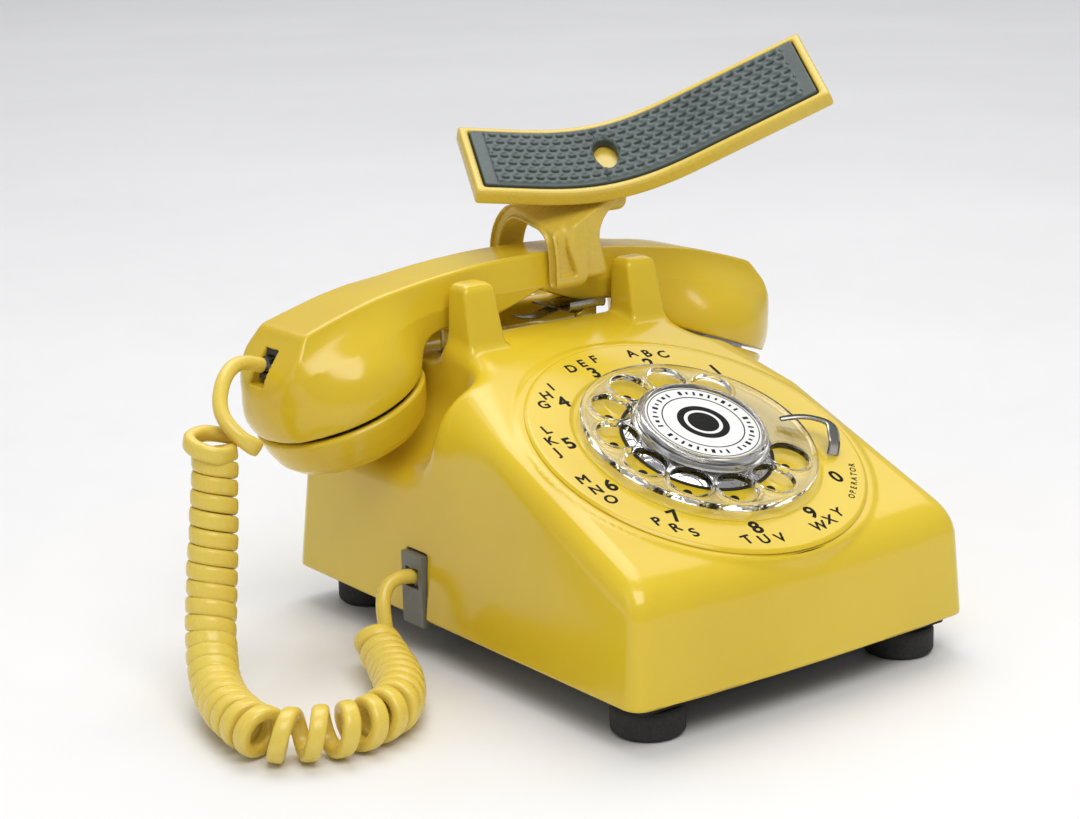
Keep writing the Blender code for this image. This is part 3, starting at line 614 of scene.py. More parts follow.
def coil_line():
    """The wire's centreline on its coiled stretch: a helix about the coil's smooth axis."""
    axis = smooth_path(COIL_TOP + COIL_FLOOR, AXIS_SPACING)
    total = len(axis) - 1
    tangents = [(axis[min(i + 1, total)] - axis[max(i - 1, 0)]).normalized() for i in range(total + 1)]
    radius = COIL_R - WIRE_DEEP - 0.15
    side = Vector((1.0, 0.0, 0.0))
    points = []
    phase = COIL_START
    shares = [p[0] for p in PITCHES]
    pitches = [p[1] for p in PITCHES]
    step = (axis[1] - axis[0]).length
    next_phase = phase
    for i in range(total + 1):
        side = (side - tangents[i] * side.dot(tangents[i])).normalized()
        other = side.cross(tangents[i])
        if phase >= next_phase:
            ends = min(1.0, 6.0 * i / total, 6.0 * (total - i) / total)
            uneven = 1.0 + 0.012 * math.sin(phase * 0.37) + 0.01 * math.sin(phase * 1.3)
            grow = radius * (0.86 + 0.14 * ends) * uneven
            points.append(axis[i] + side * math.cos(phase) * grow + other * math.sin(phase) * grow)
            next_phase += FULL_TURN / STEPS_PER_TURN
        pitch = float(np.interp(i / total, shares, pitches))
        phase += FULL_TURN * step / pitch
    return points


def cord_path():
    coil = coil_line()
    aim = Vector(BASE_WIRE[0])
    # the coil stops where it already heads for the base's jack
    last = max(range(len(coil) - STEPS_PER_TURN, len(coil)),
               key=lambda k: (coil[k] - coil[k - 1]).normalized().dot((aim - coil[k]).normalized()))
    coil = coil[:last + 1]
    lead_in = smooth_path([*SOCKET_WIRE, tuple(coil[0]), tuple(coil[3])], WIRE_SPACING)
    stop = min(range(len(lead_in)), key=lambda k: (lead_in[k] - coil[0]).length)
    lead_out = smooth_path([tuple(coil[-4]), tuple(coil[-1]), *BASE_WIRE], WIRE_SPACING)
    start = min(range(len(lead_out)), key=lambda k: (lead_out[k] - coil[-1]).length)
    return lead_in[:stop] + coil + lead_out[start + 1:]


def coil_centres(path):
    """The mean of each point's own turn.

    Where the wire is coiled, that is the coil's axis, and elsewhere it is the wire itself.
    """
    spots = np.array([tuple(p) for p in path])
    total = np.concatenate((np.zeros((1, 3)), np.cumsum(spots, axis=0)))
    half = STEPS_PER_TURN // 2
    index = np.arange(len(spots))
    low = np.maximum(index - half, 0)
    high = np.minimum(index + half, len(spots))
    return (total[high] - total[low]) / (high - low)[:, None]


def wire_reach(angle_cos, angle_sin, coiled):
    """The section's radius towards one side: round on the leads, a soft-cornered band on the coil."""
    deep = WIRE_R + (WIRE_DEEP - WIRE_R) * coiled
    wide = WIRE_R + (WIRE_WIDE - WIRE_R) * coiled
    power = 2.0 + 2.0 * coiled
    return (abs(angle_cos / deep) ** power + abs(angle_sin / wide) ** power) ** (-1.0 / power)


def wire_mesh(name, path):
    """A closed tube along the path, flattened towards the coil's axis."""
    count = len(path)
    centres = coil_centres(path)
    bm = bmesh.new()
    rings = []
    tangent = (path[1] - path[0]).normalized()
    side = tangent.orthogonal().normalized()
    for i, point in enumerate(path):
        ahead = (path[min(i + 1, count - 1)] - path[max(i - 1, 0)]).normalized()
        side = (side - ahead * side.dot(ahead)).normalized()
        other = ahead.cross(side)
        outward = point - Vector(centres[i])
        outward -= ahead * outward.dot(ahead)
        coiled = min(1.0, max(0.0, outward.length / (COIL_R - WIRE_DEEP) * 2.5 - 1.2))
        outward = outward.normalized() if outward.length > 1e-6 else side
        ring = []
        for k in range(WIRE_SIDES):
            angle = FULL_TURN * k / WIRE_SIDES
            way = side * math.cos(angle) + other * math.sin(angle)
            towards = way.dot(outward)
            reach = wire_reach(towards, math.sqrt(max(0.0, 1.0 - towards * towards)), coiled)
            ring.append(bm.verts.new(point + way * reach))
        rings.append(ring)
    skin(bm, rings)
    return from_bmesh(name, bm, 60.0)


def make_cord():
    path = cord_path()
    cord = wire_mesh("coiled_cord", path)
    cord.data.materials.append(cord_yellow)
    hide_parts("cord_hanging", "cord_lying", "cord_handset_end", "cord_base_end")
    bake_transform(cord)


make_cord()


# ---- housing
dial = frame_matrix(DIAL_CENTRE, (0.0, -math.sin(DIAL_TILT), math.cos(DIAL_TILT)))


def dial_plane(y):
    return DIAL_CENTRE.z + (y - DIAL_CENTRE.y) * math.tan(DIAL_TILT)


def housing_field(x, y, z):
    """Negative inside the outer skin of the housing, which goes on below its rim."""
    ax = np.abs(x)
    up = z - BASE_Z
    side = ax - (HALF_W - SIDE_DRAFT * up)
    front = -y - (HALF_D - FRONT_DRAFT * up - 0.0005 * ax * ax)
    back = y - (HALF_D - 0.09 * up)
    body = smax(side, smax(front, back, 6.0), 6.0)
    slope = (z - dial_plane(y)) * math.cos(DIAL_TILT)
    body = smax(body, slope, 9.0 + 11.0 * np.clip((y + 20.0) / 25.0, 0.0, 1.0))
    rear = (z - 96.0 + 1.15 * (y - 74.0)) * 0.66
    body = smax(body, rear, 16.0)
    body = smax(body, z - CREST_Z + 1.0, 6.0)
    # scooped sides below the handset's caps
    scoop_front = 12.0 - 0.10 * (ax - 42.0) + 0.32 * (92.0 - z)
    scoop = smin(ax - 43.6 - 0.06 * (100.0 - z), z - 65.0 + 0.36 * (ax - 49.0), 16.0)
    scoop = smin(scoop, (y - scoop_front) * 0.85, 12.0)
    body = smax(body, scoop, 6.0)
    # four ears
    reach = np.abs(y - CRADLE_Y)
    drop = np.clip(EAR_Z - z, 0.0, 30.0)
    ear_y = CRADLE_Y - EAR_FRONT_Y - 0.5 * EAR_THICK
    ear_x = 0.5 * (EAR_IN + EAR_OUT)
    thick = 0.5 * EAR_THICK + 0.12 * drop
    wide = 0.5 * (EAR_OUT - EAR_IN) + 0.05 * drop
    ear = smax(np.abs(ax - ear_x) - wide, np.abs(reach - ear_y - 0.10 * drop) - thick, 1.5)
    ear = smax(ear, z - np.where(y > CRADLE_Y, EAR_REAR_Z, EAR_Z), 3.4)
    ear = smax(ear, 80.0 - z, 2.0)
    body = smin(body, ear, 2.4)
    # the trough for the handle, and the carrying grip between the rear ears
    trough = smax(reach - 14.4, 91.0 - z, 9.0)
    body = smax(body, -trough, 3.0)
    grip = round_box(ax, y, z, (0.0, 93.0, 92.0), (24.0, 26.0, 20.0), 12.0)
    body = smax(body, -grip, 5.0)
    lip = round_box(ax, y, z, (0.0, 71.0, 89.5), (34.0, 3.0, 11.5), 2.6)
    return smin(body, lip, 4.0)


def dial_coordinates(x, y, z):
    """How far from the dial's axis, and how high above its face."""
    dx = x - DIAL_CENTRE.x
    dy = y - DIAL_CENTRE.y
    dz = z - DIAL_CENTRE.z
    height = -dy * math.sin(DIAL_TILT) + dz * math.cos(DIAL_TILT)
    along = dy * math.cos(DIAL_TILT) + dz * math.sin(DIAL_TILT)
    return np.sqrt(dx * dx + along * along), height


def shell_field(x, y, z):
    skin = housing_field(x, y, z)
    inner = smax(skin + WALL, z - 84.0, 5.0)
    reach, height = dial_coordinates(x, y, z)
    boss = smax(smax(reach - PLATE_R - 1.6, height + 0.1, 1.2), -12.0 - height, 1.0)
    body = np.maximum(smin(skin, boss, 3.0), -inner)
    opening = np.maximum(reach - 50.0, np.abs(height + 5.0) - 9.0)
    body = np.maximum(body, -opening)
    wells = np.maximum(np.hypot(np.abs(x) - PLUNGER_X, y - CRADLE_Y) - 4.6, 70.0 - z)
    body = smax(body, -wells, 0.8)
    jack_notch = round_box(x, y, z, (-HALF_W + 5.0, JACK_Y, 18.5), (11.0, 6.2, 16.5), 0.8)
    body = smax(body, -jack_notch, 0.7)
    line_notch = round_box(x, y, z, (-25.0, HALF_D - 2.0, 15.0), (6.0, 10.0, 13.0), 0.8)
    body = smax(body, -line_notch, 0.7)
    return smax(body, BASE_Z - z, 0.8)


HOUSING_LOW = (-HALF_W - 2, -HALF_D - 2, BASE_Z - 2)
HOUSING_TOP = (HALF_W + 2, HALF_D + 2, 120.0)
HOUSING_GRID = 1.25
housing = field_mesh("housing_shell", shell_field, HOUSING_LOW, HOUSING_TOP, HOUSING_GRID)
dress(housing, yellow, "base", ["housing"])


# ---- CAD nodes that keep their shape
CAD_SHARP_ANGLE = 32.0


def finish_node(name, mat, bevel=0.25):
    """Give a CAD node its material, smooth shading and, unless bevel is 0, rounded edges."""
    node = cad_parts[name]
    node.data.materials.clear()
    node.data.materials.append(mat)
    shade(node.data, CAD_SHARP_ANGLE)
    if bevel:
        soften(node, bevel, 2)


# The base pan is near black as painted shade: it stands for the dark gap seen under the housing between the
# feet.
pan_painted_shade_black = metal("pan_painted_shade_black_metal", (0.03, 0.03, 0.032), (0.015, 0.015, 0.016), (0.3, 0.45), scale=60.0)
PAN_INSET = 13.0
PAN_SIZE = (2.0 * HALF_W - PAN_INSET, 2.0 * HALF_D - PAN_INSET, 1.8)
plate = from_bmesh("base_pan", box((0.0, 0.0, BASE_Z - 2.1), PAN_SIZE))
upright = plate.modifiers.new("corners", "BEVEL")
upright.width = 9.0 * MM
upright.segments = 8
upright.limit_method = "ANGLE"
upright.affect = "VERTICES"
bake(plate)
soften(plate, 0.5, 3)
dress(plate, pan_painted_shade_black, "base", ["base_plate"])
for name in ("case_screw_front", "case_screw_rear", "dial_frame", "hook_lever", "ringer_frame", "clapper",
             "transmitter_unit", "receiver_unit"):
    finish_node(name, steel)
for name in ("dial_shaft", "pulse_pinion", "governor_cup", "governor_flyer", "gong_left", "gong_right"):
    finish_node(name, brass, 0.0)
for name in ("hook_contacts", "network_block"):
    finish_node(name, dark_plastic)
for name in ("volume_wheel", "base_cord_jack", "line_jack"):
    finish_node(name, grey_plastic)
finish_node("ringer_coil", copper, 0.0)

# ---- feet
FEET = (("foot_front_left", -53.0, -79.0), ("foot_front_right", 53.0, -79.0),
        ("foot_rear_left", -50.0, 78.0), ("foot_rear_right", 50.0, 78.0))
FOOT_PROFILE = [
    (0.0, 0.6), (3.0, 0.6), (4.0, 0.0), (10.0, 0.0), (11.5, 1.5), (11.5, 8.2), (10.8, 9.6), (0.0, 9.6),
]
for node, x, y in FEET:
    lathe(node + "_rubber", FOOT_PROFILE, at(x, y), black_rubber, "base", [node], 48, 0.5)

# ---- number plate and its characters
PLATE_HIGH = 1.9
FLOOR_HIGH = 1.2
PLATE_PROFILE = [
    (9.0, 0.0), (PLATE_R - 0.8, 0.0), (PLATE_R, 0.8), (PLATE_R, PLATE_HIGH - 0.8),
    (PLATE_R - 1.0, PLATE_HIGH), (41.8, PLATE_HIGH), (40.6, FLOOR_HIGH), (9.0, FLOOR_HIGH),
]
lathe("number_plate_face", PLATE_PROFILE, dial, yellow, "base", ["number_plate"], 192, 0.5)
# The thin black ring round the number plate's edge is painted shade of the gap between plate and housing,
# not a part.
GAP_IN = PLATE_R - 2.0
GAP_OUT = PLATE_R + 0.55
GAP_SHADE_PROFILE = [(GAP_IN, -0.3), (GAP_OUT, -0.3), (GAP_OUT, 0.14), (GAP_IN, 0.14)]
lathe("plate_gap_painted_shade", GAP_SHADE_PROFILE, dial, black_rubber, "base", steps=192, bend=0.05)

DIGITS = "1234567890"
# each digit's distance from the dial's axis and its polar angle
DIGIT_SPOTS = ((47.0, 43.9), (44.6, 73.0), (44.6, 103.0), (44.6, 134.0), (44.6, 164.0), (44.6, 193.5),
               (44.6, 222.0), (44.6, 255.5), (44.6, 285.6), (45.6, 318.0))
LETTER_R = 50.4
LETTER_STEP = 6.6
# letters, the polar angle of the middle one, and whether they run clockwise
LETTERS = (("ABC", 71.8, -1), ("DEF", 102.5, -1), ("GHI", 133.0, -1), ("JKL", 162.5, -1), ("MNO", 192.5, 1),
           ("PRS", 223.5, 1), ("TUV", 255.7, 1), ("WXY", 288.0, 1))
INK_THICK = 0.05
DIGIT_INK = (5.4, 0.26)  # height, and how much the strokes are widened
LETTER_INK = (3.9, 0.19)
WORD_INK = (2.0, 0.09)
WORD_R = 51.6
WORD_STEP = 2.9
DOT_R = 1.5


def glyph(text, height, place, bold):
    """One flat character as a bmesh, centred on its frame and about height tall; bold widens its strokes."""
    curve = bpy.data.curves.new("glyph", "FONT")
    curve.body = text
    curve.size = height / 0.70
    curve.align_x = "CENTER"
    curve.extrude = 0.001
    curve.bevel_depth = bold
    curve.bevel_resolution = 0
    curve.resolution_u = 6
    holder = add_object("glyph", curve)
    graph = bpy.context.evaluated_depsgraph_get()
    mesh = bpy.data.meshes.new_from_object(holder.evaluated_get(graph), depsgraph=graph)
    bm = bmesh.new()
    bm.from_mesh(mesh)
    bmesh.ops.remove_doubles(bm, verts=bm.verts[:], dist=0.0005)
    bmesh.ops.translate(bm, verts=bm.verts[:], vec=(0.0, -0.5 * height, 0.0))
    bm.transform(place @ Matrix.Diagonal((1.0, 1.0, INK_THICK / bold, 1.0)))
    bpy.data.objects.remove(holder)
    bpy.data.curves.remove(curve)
    bpy.data.meshes.remove(mesh)
    return bm


def on_dial(radius, degrees, height, turn=0.0):
    angle = math.radians(degrees)
    spot = Matrix.Translation((radius * math.cos(angle), radius * math.sin(angle), height))
    return dial @ spot @ Matrix.Rotation(math.radians(turn), 4, "Z")


def print_plate():
    parts = []
    for digit, (radius, degrees) in zip(DIGITS, DIGIT_SPOTS):
        parts.append(glyph(digit, DIGIT_INK[0], on_dial(radius, degrees, PLATE_HIGH), DIGIT_INK[1]))
    for letters, middle, way in LETTERS:
        for i, letter in enumerate(letters):
            spot = on_dial(LETTER_R, middle + way * LETTER_STEP * (i - 1), PLATE_HIGH)
            parts.append(glyph(letter, LETTER_INK[0], spot, LETTER_INK[1]))
    word = "OPERATOR"
    for i, letter in enumerate(word):
        degrees = DIGIT_SPOTS[-1][1] + WORD_STEP * (i - 0.5 * (len(word) - 1))
        spot = on_dial(WORD_R, degrees, PLATE_HIGH, degrees + 90.0)
        parts.append(glyph(letter, WORD_INK[0], spot, WORD_INK[1]))
    for i in range(len(DIGITS)):
        spot = on_dial(HOLE_RING_R, HOLE_FIRST + HOLE_STEP * i, FLOOR_HIGH)
        parts.append(disc(spot, DOT_R, -INK_THICK, INK_THICK, 24))
    return joined(parts)


dress(from_bmesh("dial_characters", print_plate()), ink, "base")

# ---- dial hub, wheel, card and stop
HUB_PROFILE = [(14.0, 1.35), (24.4, 1.35), (24.4, 1.6), (22.4, 2.7), (14.0, 2.7)]
# The black ring beside the chrome hub is a painted shadow beneath the finger wheel, not a part.
HUB_SHADOW_PROFILE = [(24.5, 1.25), (25.5, 1.25), (25.5, 1.75), (24.5, 1.75)]
lathe("hub_ring", HUB_PROFILE, dial, chrome, "base")
lathe("hub_painted_shadow", HUB_SHADOW_PROFILE, dial, black_rubber, "base", bend=0.1)


def wheel_field(x, y, z):
    reach = np.hypot(x, y)
    hole = np.full(np.shape(reach), 1e3)
    for i in range(10):
        angle = math.radians(HOLE_FIRST + HOLE_STEP * i)
        hole_x = HOLE_RING_R * math.cos(angle)
        hole_y = HOLE_RING_R * math.sin(angle)
        hole = np.minimum(hole, np.hypot(x - hole_x, y - hole_y))
    plate = smax(reach - WHEEL_R, np.abs(z - 4.35) - 0.92, 0.5)
    rim = np.hypot(hole - HOLE_R - 0.75, z - 4.85) - 0.72
    edge = np.hypot(reach - WHEEL_R + 0.85, z - 4.7) - 0.85
    body = smin(smin(plate, rim, 0.7), edge, 0.7)
    body = smax(body, HOLE_R - hole, 0.5)
    return smax(body, 4.4 - reach, 0.3)


def place_in_metres(obj, place):
    scaled = place.copy()
    scaled.translation = place.translation * MM
    obj.data.transform(scaled)
    return obj


wheel = field_mesh("finger_wheel_clear", wheel_field, (-40.0, -40.0, 2.5), (40.0, 40.0, 6.5), 0.5)
dress(place_in_metres(wheel, dial), clear, "dial", ["finger_wheel"])
RING_PROFILE = [
    (18.4, 7.9), (18.4, 6.0), (22.6, 6.0), (22.6, 7.0), (21.9, 8.0), (21.5, 9.2), (20.6, 10.1), (19.9, 10.1),
    (19.5, 9.6), (19.5, 7.9),
]
CUP_PROFILE = [(4.4, 5.95), (17.9, 5.95), (17.9, 7.6), (19.2, 8.1), (4.4, 8.1)]
CARD_PROFILE = [(0.0, 8.3), (CARD_R, 8.3), (CARD_R, 9.4), (0.0, 9.45)]
lathe("retainer_ring", RING_PROFILE, dial, smoky, "dial", ["card_retainer"], 144, 0.25)
lathe("retainer_cup", CUP_PROFILE, dial, chrome, "dial")
lathe("card_disc", CARD_PROFILE, dial, card_white, "dial", ["number_card"], 96, 0.15)


def flat_ring(inner, outer, height, steps=96):
    profile = [(inner, height - INK_THICK), (outer, height - INK_THICK), (outer, height + INK_THICK),
               (inner, height + INK_THICK)]
    return turned(profile, dial, steps, 0.01)


def print_card():
    """A plain pattern: two thin rings, a wide ring round a disc, and a circle of dashes."""
    top = 9.43
    parts = [flat_ring(13.3, 13.7, top), flat_ring(18.2, 18.5, top), flat_ring(6.4, 8.7, top)]
    parts.append(disc(dial, 5.2, top - INK_THICK, top + INK_THICK))
    for i in range(40):
        if i % 10 == 0:
            continue
        tall = 1.9 if i % 2 else 1.3
        spot = on_dial(15.9, 9.0 * i, top, 9.0 * i)
        parts.append(box((0, 0, 0), (tall, 0.75 if i % 3 else 1.2, 2.0 * INK_THICK), None))
        parts[-1].transform(spot)
    return joined(parts)


dress(from_bmesh("card_print", print_card()), ink, "dial")


def strip(name, spots, widths, thick, up_hint, place=Matrix.Identity(4)):
    """A bent strip of metal through the spots, with rounded edges."""
    bm = bmesh.new()
    rows = []
    count = len(spots)
    corner = 0.3 * thick
    for i, spot in enumerate(spots):
        ahead = (spots[min(i + 1, count - 1)] - spots[max(i - 1, 0)]).normalized()
        across = Vector(up_hint).cross(ahead).normalized()
        up = ahead.cross(across)
        half_w = widths[i] / 2.0
        half_t = thick / 2.0
        row = []
        for sx, sz in ((-1, -1), (1, -1), (1, 1), (-1, 1)):
            first = (half_w - corner, half_t) if sx == sz else (half_w, half_t - corner)
            second = (half_w, half_t - corner) if sx == sz else (half_w - corner, half_t)
            for wide, high in (first, second):
                row.append(bm.verts.new(place @ (spot + across * sx * wide + up * sz * high)))
        rows.append(row)
    skin(bm, rows)
    return from_bmesh(name, bm, 40.0)


# distance from the dial's axis, polar angle and height above the dial's face
STOP_KNOTS = ((45.8, -27.5, 2.5), (45.9, -24.4, 6.4), (45.3, -18.0, 9.0), (41.0, -13.0, 9.0),
              (36.0, -10.0, 8.4), (30.6, -8.0, 7.2))
STOP_SHARES = (0.0, 0.28, 0.5, 0.62, 0.9, 1.0)
STOP_WIDTHS = (4.6, 4.6, 4.4, 3.6, 3.0, 2.2)


def finger_stop():
    knots = []
    for radius, degrees, height in STOP_KNOTS:
        angle = math.radians(degrees)
        knots.append(Vector((radius * math.cos(angle), radius * math.sin(angle), height)))
    spots = smooth_path(knots, 0.5)
    shares = [i / (len(spots) - 1) for i in range(len(spots))]
    widths = [float(np.interp(share, STOP_SHARES, STOP_WIDTHS)) for share in shares]
    return strip("finger_stop_bent", spots, widths, 1.1, (0.25, 0.25, 1.0), dial)


dress(finger_stop(), worn_steel, "base", ["finger_stop"])

# ---- plungers
PLUNGER_PROFILE = [
    (0.0, 66.0), (3.0, 66.0), (3.0, 74.0), (6.2, 74.0), (6.2, 76.0), (3.9, 76.0), (3.9, 99.4), (3.0, 100.6),
    (0.0, 100.6),
]
for side, node in ((-1, "plunger_left"), (1, "plunger_right")):
    place = at(side * PLUNGER_X, CRADLE_Y)
    lathe(node + "_clear", PLUNGER_PROFILE, place, clear, node, [node], 48, 0.5)

# ---- handset
def cap_frame(side):
    """Origin at the middle of the seam, Z out of the cup towards the handle."""
    axis = Vector((side * math.sin(CAP_TILT), 0.0, math.cos(CAP_TILT)))
    y = Vector((0.0, 1.0, 0.0))
    mat = Matrix((y.cross(axis), y, axis)).transposed().to_4x4()
    mat.translation = Vector((side * CAP_X, CRADLE_Y, SEAM_Z))
    return mat


def handset_field(x, y, z):
    ax = np.abs(x)
    dy = y - CRADLE_Y
    top = HANDLE_TOP - 0.0015 * x * x - 1.6e-8 * x ** 4
    flare = 0.004 * np.maximum(ax - 40.0, 0.0) ** 1.6
    side = np.abs(dy) - (HANDLE_HALF - 0.15 * np.abs(z - top + 11.0)) - flare
    end = smax(ax - 103.4, (ax - 103.4 + 0.42 * (z - 88.0)) * 0.92, 5.0)
    floor = top - 18.5 - 11.0 * np.clip((ax - 84.0) / 14.0, 0.0, 1.0)
    low = np.clip((101.0 - z) / 15.0, 0.0, 1.0) ** 1.3
    bar = smax(z - top, floor - z, 3.0)
    bar = smax(smax(bar, side, 1.3), end, 1.6 + 20.0 * low)
    sin_t = math.sin(CAP_TILT)
    cos_t = math.cos(CAP_TILT)
    dx = ax - CAP_X
    dz = z - SEAM_Z
    height = dx * sin_t + dz * cos_t
    across = dx * cos_t - dz * sin_t
    around = np.sqrt(across * across + dy * dy)
    swell = 1.3 - 1.3 * np.exp(-np.maximum(height, 0.0) / 2.5) - 0.07 * np.maximum(height, 0.0)
    cup = smax(around - CAP_R - swell, height - 23.0, 19.0)
    body = smax(smin(bar, cup, 12.0), 0.9 - height, 0.5)
    cavity = np.maximum(around - 24.0, height - 10.0)
    body = np.maximum(body, -cavity)
    slot = round_box(x, y, z, (-HANDSET_END + 3.0, CRADLE_Y, 96.5), (9.0, 4.1, 5.6), 0.5)
    return smax(body, -slot, 0.4)


HANDSET_LOW = (-110.0, CRADLE_Y - 32.0, 68.0)
HANDSET_TOP = (110.0, CRADLE_Y + 32.0, 125.0)
HANDSET_GRID = 0.9
handset = field_mesh("handset_shell", handset_field, HANDSET_LOW, HANDSET_TOP, HANDSET_GRID)
dress(handset, yellow, "handset", ["handset_body"])
CAP_PROFILE = [
    (0.0, -16.3), (CAP_R - 9.0, -16.2), (CAP_R - 5.0, -15.0), (CAP_R - 2.2, -12.0), (CAP_R - 0.5, -7.6),
    (CAP_R + 0.6, -3.4), (CAP_R + 0.9, -1.5), (CAP_R - 0.1, -0.6), (CAP_R - 1.6, -0.6), (CAP_R - 2.4, -8.0),
    (CAP_R - 4.8, -11.6), (CAP_R - 7.6, -13.8), (0.0, -14.4),
]
PORT_R = 1.2
# a port in the middle, with one circle of ports round it in the receiver and two in the transmitter
for side, name in ((-1, "transmitter"), (1, "receiver")):
    place = cap_frame(side)
    cap = from_bmesh(name + "_cup", turned(CAP_PROFILE, place, 96, 0.5), 50.0)
    ports = [disc(place, PORT_R, -18.0, -12.0, 16)]
    for circle, count in ((5.0, 6), (10.0, 12)):
        for i in range(count if side < 0 or circle < 8.0 else 0):
            angle = FULL_TURN * i / count
            spot = place @ Matrix.Translation((circle * math.cos(angle), circle * math.sin(angle), 0.0))
            ports.append(disc(spot, PORT_R, -18.0, -12.0, 16))
    cut(cap, joined(ports))
    dress(cap, yellow, "handset", [name + "_cap"])


# ---- plugs in their jacks
def plug(name, centre, size, body):
    obj = from_bmesh(name, box(centre, size))
    soften(obj, 0.4, 3)
    return dress(obj, smoky, body)


plug("handset_plug", (SOCKET.x + 7.0, CRADLE_Y, 97.3), (7.0, 5.2, 5.2), "handset")
JACK_TURN = Matrix.Rotation(math.radians(22.8), 3, "Y")
jack = from_bmesh("handset_jack_block", box((-97.8, CRADLE_Y, 96.6), (5.6, 8.15, 11.0), JACK_TURN))
cut(jack, box((-100.3, CRADLE_Y, 97.0), (7.0, 5.6, 6.6), JACK_TURN))
dress(soften(jack, 0.3), dark_plastic, "handset", ["handset_jack"])
plug("base_plug", (-HALF_W + 5.2, JACK_Y, JACK_Z + 3.5), (9.6, 6.4, 6.2), "base")
latch = from_bmesh("base_latch", box((-HALF_W + 0.2, JACK_Y, JACK_Z + 7.2), (2.2, 2.6, 1.0)))
dress(soften(latch, 0.3), grey_plastic, "base")

# ---- shoulder rest
REST_ALONG = Vector((0.811, -0.523, 0.261)).normalized()
REST_FACE = Vector((-0.443, -0.258, 0.858))
REST_FACE = (REST_FACE - REST_ALONG * REST_FACE.dot(REST_ALONG)).normalized()
REST_ACROSS = REST_FACE.cross(REST_ALONG)
REST_FLOOR = -3.5
BEND_U = np.linspace(-REST_LEFT - 6.0, REST_RIGHT + 6.0, 601)


def rest_slope(u):
    """The tray is straight at both ends and bends in between; the angle is in radians."""
    t = np.clip((u + REST_BEND) / (2.0 * REST_BEND), 0.0, 1.0)
    t = t * t * (3.0 - 2.0 * t)
    return REST_LOW_ANGLE + (REST_HIGH_ANGLE - REST_LOW_ANGLE) * t


def running_total(rate):
    """The integral of rate over BEND_U, zero at u = 0."""
    steps = 0.5 * (rate[1:] + rate[:-1]) * np.diff(BEND_U)
    total = np.concatenate(([0.0], np.cumsum(steps)))
    return total - np.interp(0.0, BEND_U, total)


BEND_ALONG = running_total(np.cos(rest_slope(BEND_U)))
BEND_OUT = running_total(np.sin(rest_slope(BEND_U)))


def bent(p):
    """Flat tray coordinates (along, across, out of the face) bent to their place."""
    slope = rest_slope(p[:, 0])
    along = np.interp(p[:, 0], BEND_U, BEND_ALONG) - np.sin(slope) * p[:, 2]
    out = np.interp(p[:, 0], BEND_U, BEND_OUT) + np.cos(slope) * p[:, 2]
    spot = np.array(REST_MID) + along[:, None] * np.array(REST_ALONG)
    return spot + p[:, 1:2] * np.array(REST_ACROSS) + out[:, None] * np.array(REST_FACE)


REST_CENTRE_U = 0.5 * (REST_RIGHT - REST_LEFT)
REST_HALF_U = 0.5 * (REST_RIGHT + REST_LEFT)
HOLE_HALF = (4.2, 8.4)


def oval_hole(u, v, grow=0.0):
    return (np.hypot(u / (HOLE_HALF[0] + grow), v / (HOLE_HALF[1] + grow)) - 1.0) * HOLE_HALF[0]


def tray_field(u, v, w):
    outer = round_box(u, v, w, (REST_CENTRE_U, 0.0, 0.2), (REST_HALF_U, REST_HALF, 2.8), 1.1)
    pocket = round_box(u, v, w, (REST_CENTRE_U, 0.0, 5.0), (REST_HALF_U - 3.0, REST_HALF - 3.0, 5.0), 0.8)
    return smax(outer, -pocket, 0.8)


PITCH_U = 4.1
PITCH_V = 4.3
SLOT_HALF_U = 1.2
SLOT_HALF_V = 0.62
WEAVE_HIGH = 1.3


def weave(u, v):
    """Height from 0 to 1 of the moulded weave: rows of short slots, each row set half a step along."""
    row = np.round(v / PITCH_V)
    along = u / PITCH_U - 0.5 * (row % 2.0)
    along = (along - np.round(along)) * PITCH_U
    across = v - row * PITCH_V
    slot = np.exp(-(along / SLOT_HALF_U) ** 4 - (across / SLOT_HALF_V) ** 4)
    strand = 0.5 + 0.5 * np.cos(FULL_TURN * along / PITCH_U)
    return np.clip(1.0 - slot - 0.28 * strand, 0.0, 1.0)


def pad_field(u, v, w):
    half_u = REST_HALF_U - 3.5
    half_v = REST_HALF - 3.5
    edge_u = half_u - np.abs(u - REST_CENTRE_U)
    edge_v = half_v - np.abs(v)
    margin = np.clip((edge_u - 4.2) / 0.5, 0.0, 1.0) * np.clip((edge_v - 0.8) / 0.8, 0.0, 1.0)
    near_hole = np.clip(oval_hole(u, v) / 1.2, 0.0, 1.0)
    seam = 0.55 * np.exp(-((u + 2.4) / 0.33) ** 2)
    top = 3.5 + (WEAVE_HIGH * weave(u, v) - 0.5) * margin * near_hole - seam
    body = round_box(u, v, w, (REST_CENTRE_U, 0.0, 5.3), (half_u, half_v, 5.0), 1.0)
    body = smax(body, (w - top) * 0.7, 0.2)
    return smax(body, -oval_hole(u, v), 0.5)


REST_LOW = (-REST_LEFT - 1.0, -REST_HALF - 1.0, -3.5)
REST_TOP = (REST_RIGHT + 1.0, REST_HALF + 1.0, 5.5)
TRAY_GRID = 0.8
PAD_GRID = 0.34
tray = field_mesh("rest_tray_moulded", tray_field, REST_LOW, REST_TOP, TRAY_GRID, bent)
dress(tray, bracket_yellow, "shoulder_rest", ["rest_tray"])
pad = field_mesh("rest_pad_foam", pad_field, REST_LOW, REST_TOP, PAD_GRID, bent)
dress(pad, foam, "shoulder_rest", ["rest_pad"])
ARCH_LINE = [
    (36.4, 112.6), (36.6, 121.0), (38.4, 127.6), (42.6, 131.6), (49.0, 133.2), (56.0, 134.6), (62.0, 133.8),
    (67.6, 129.0), (70.6, 122.0), (71.3, 112.4),
]
ARCH_CURVE = [(spot.x, spot.y) for spot in smooth_path([(y, z, 0.0) for y, z in ARCH_LINE], 2.0)]


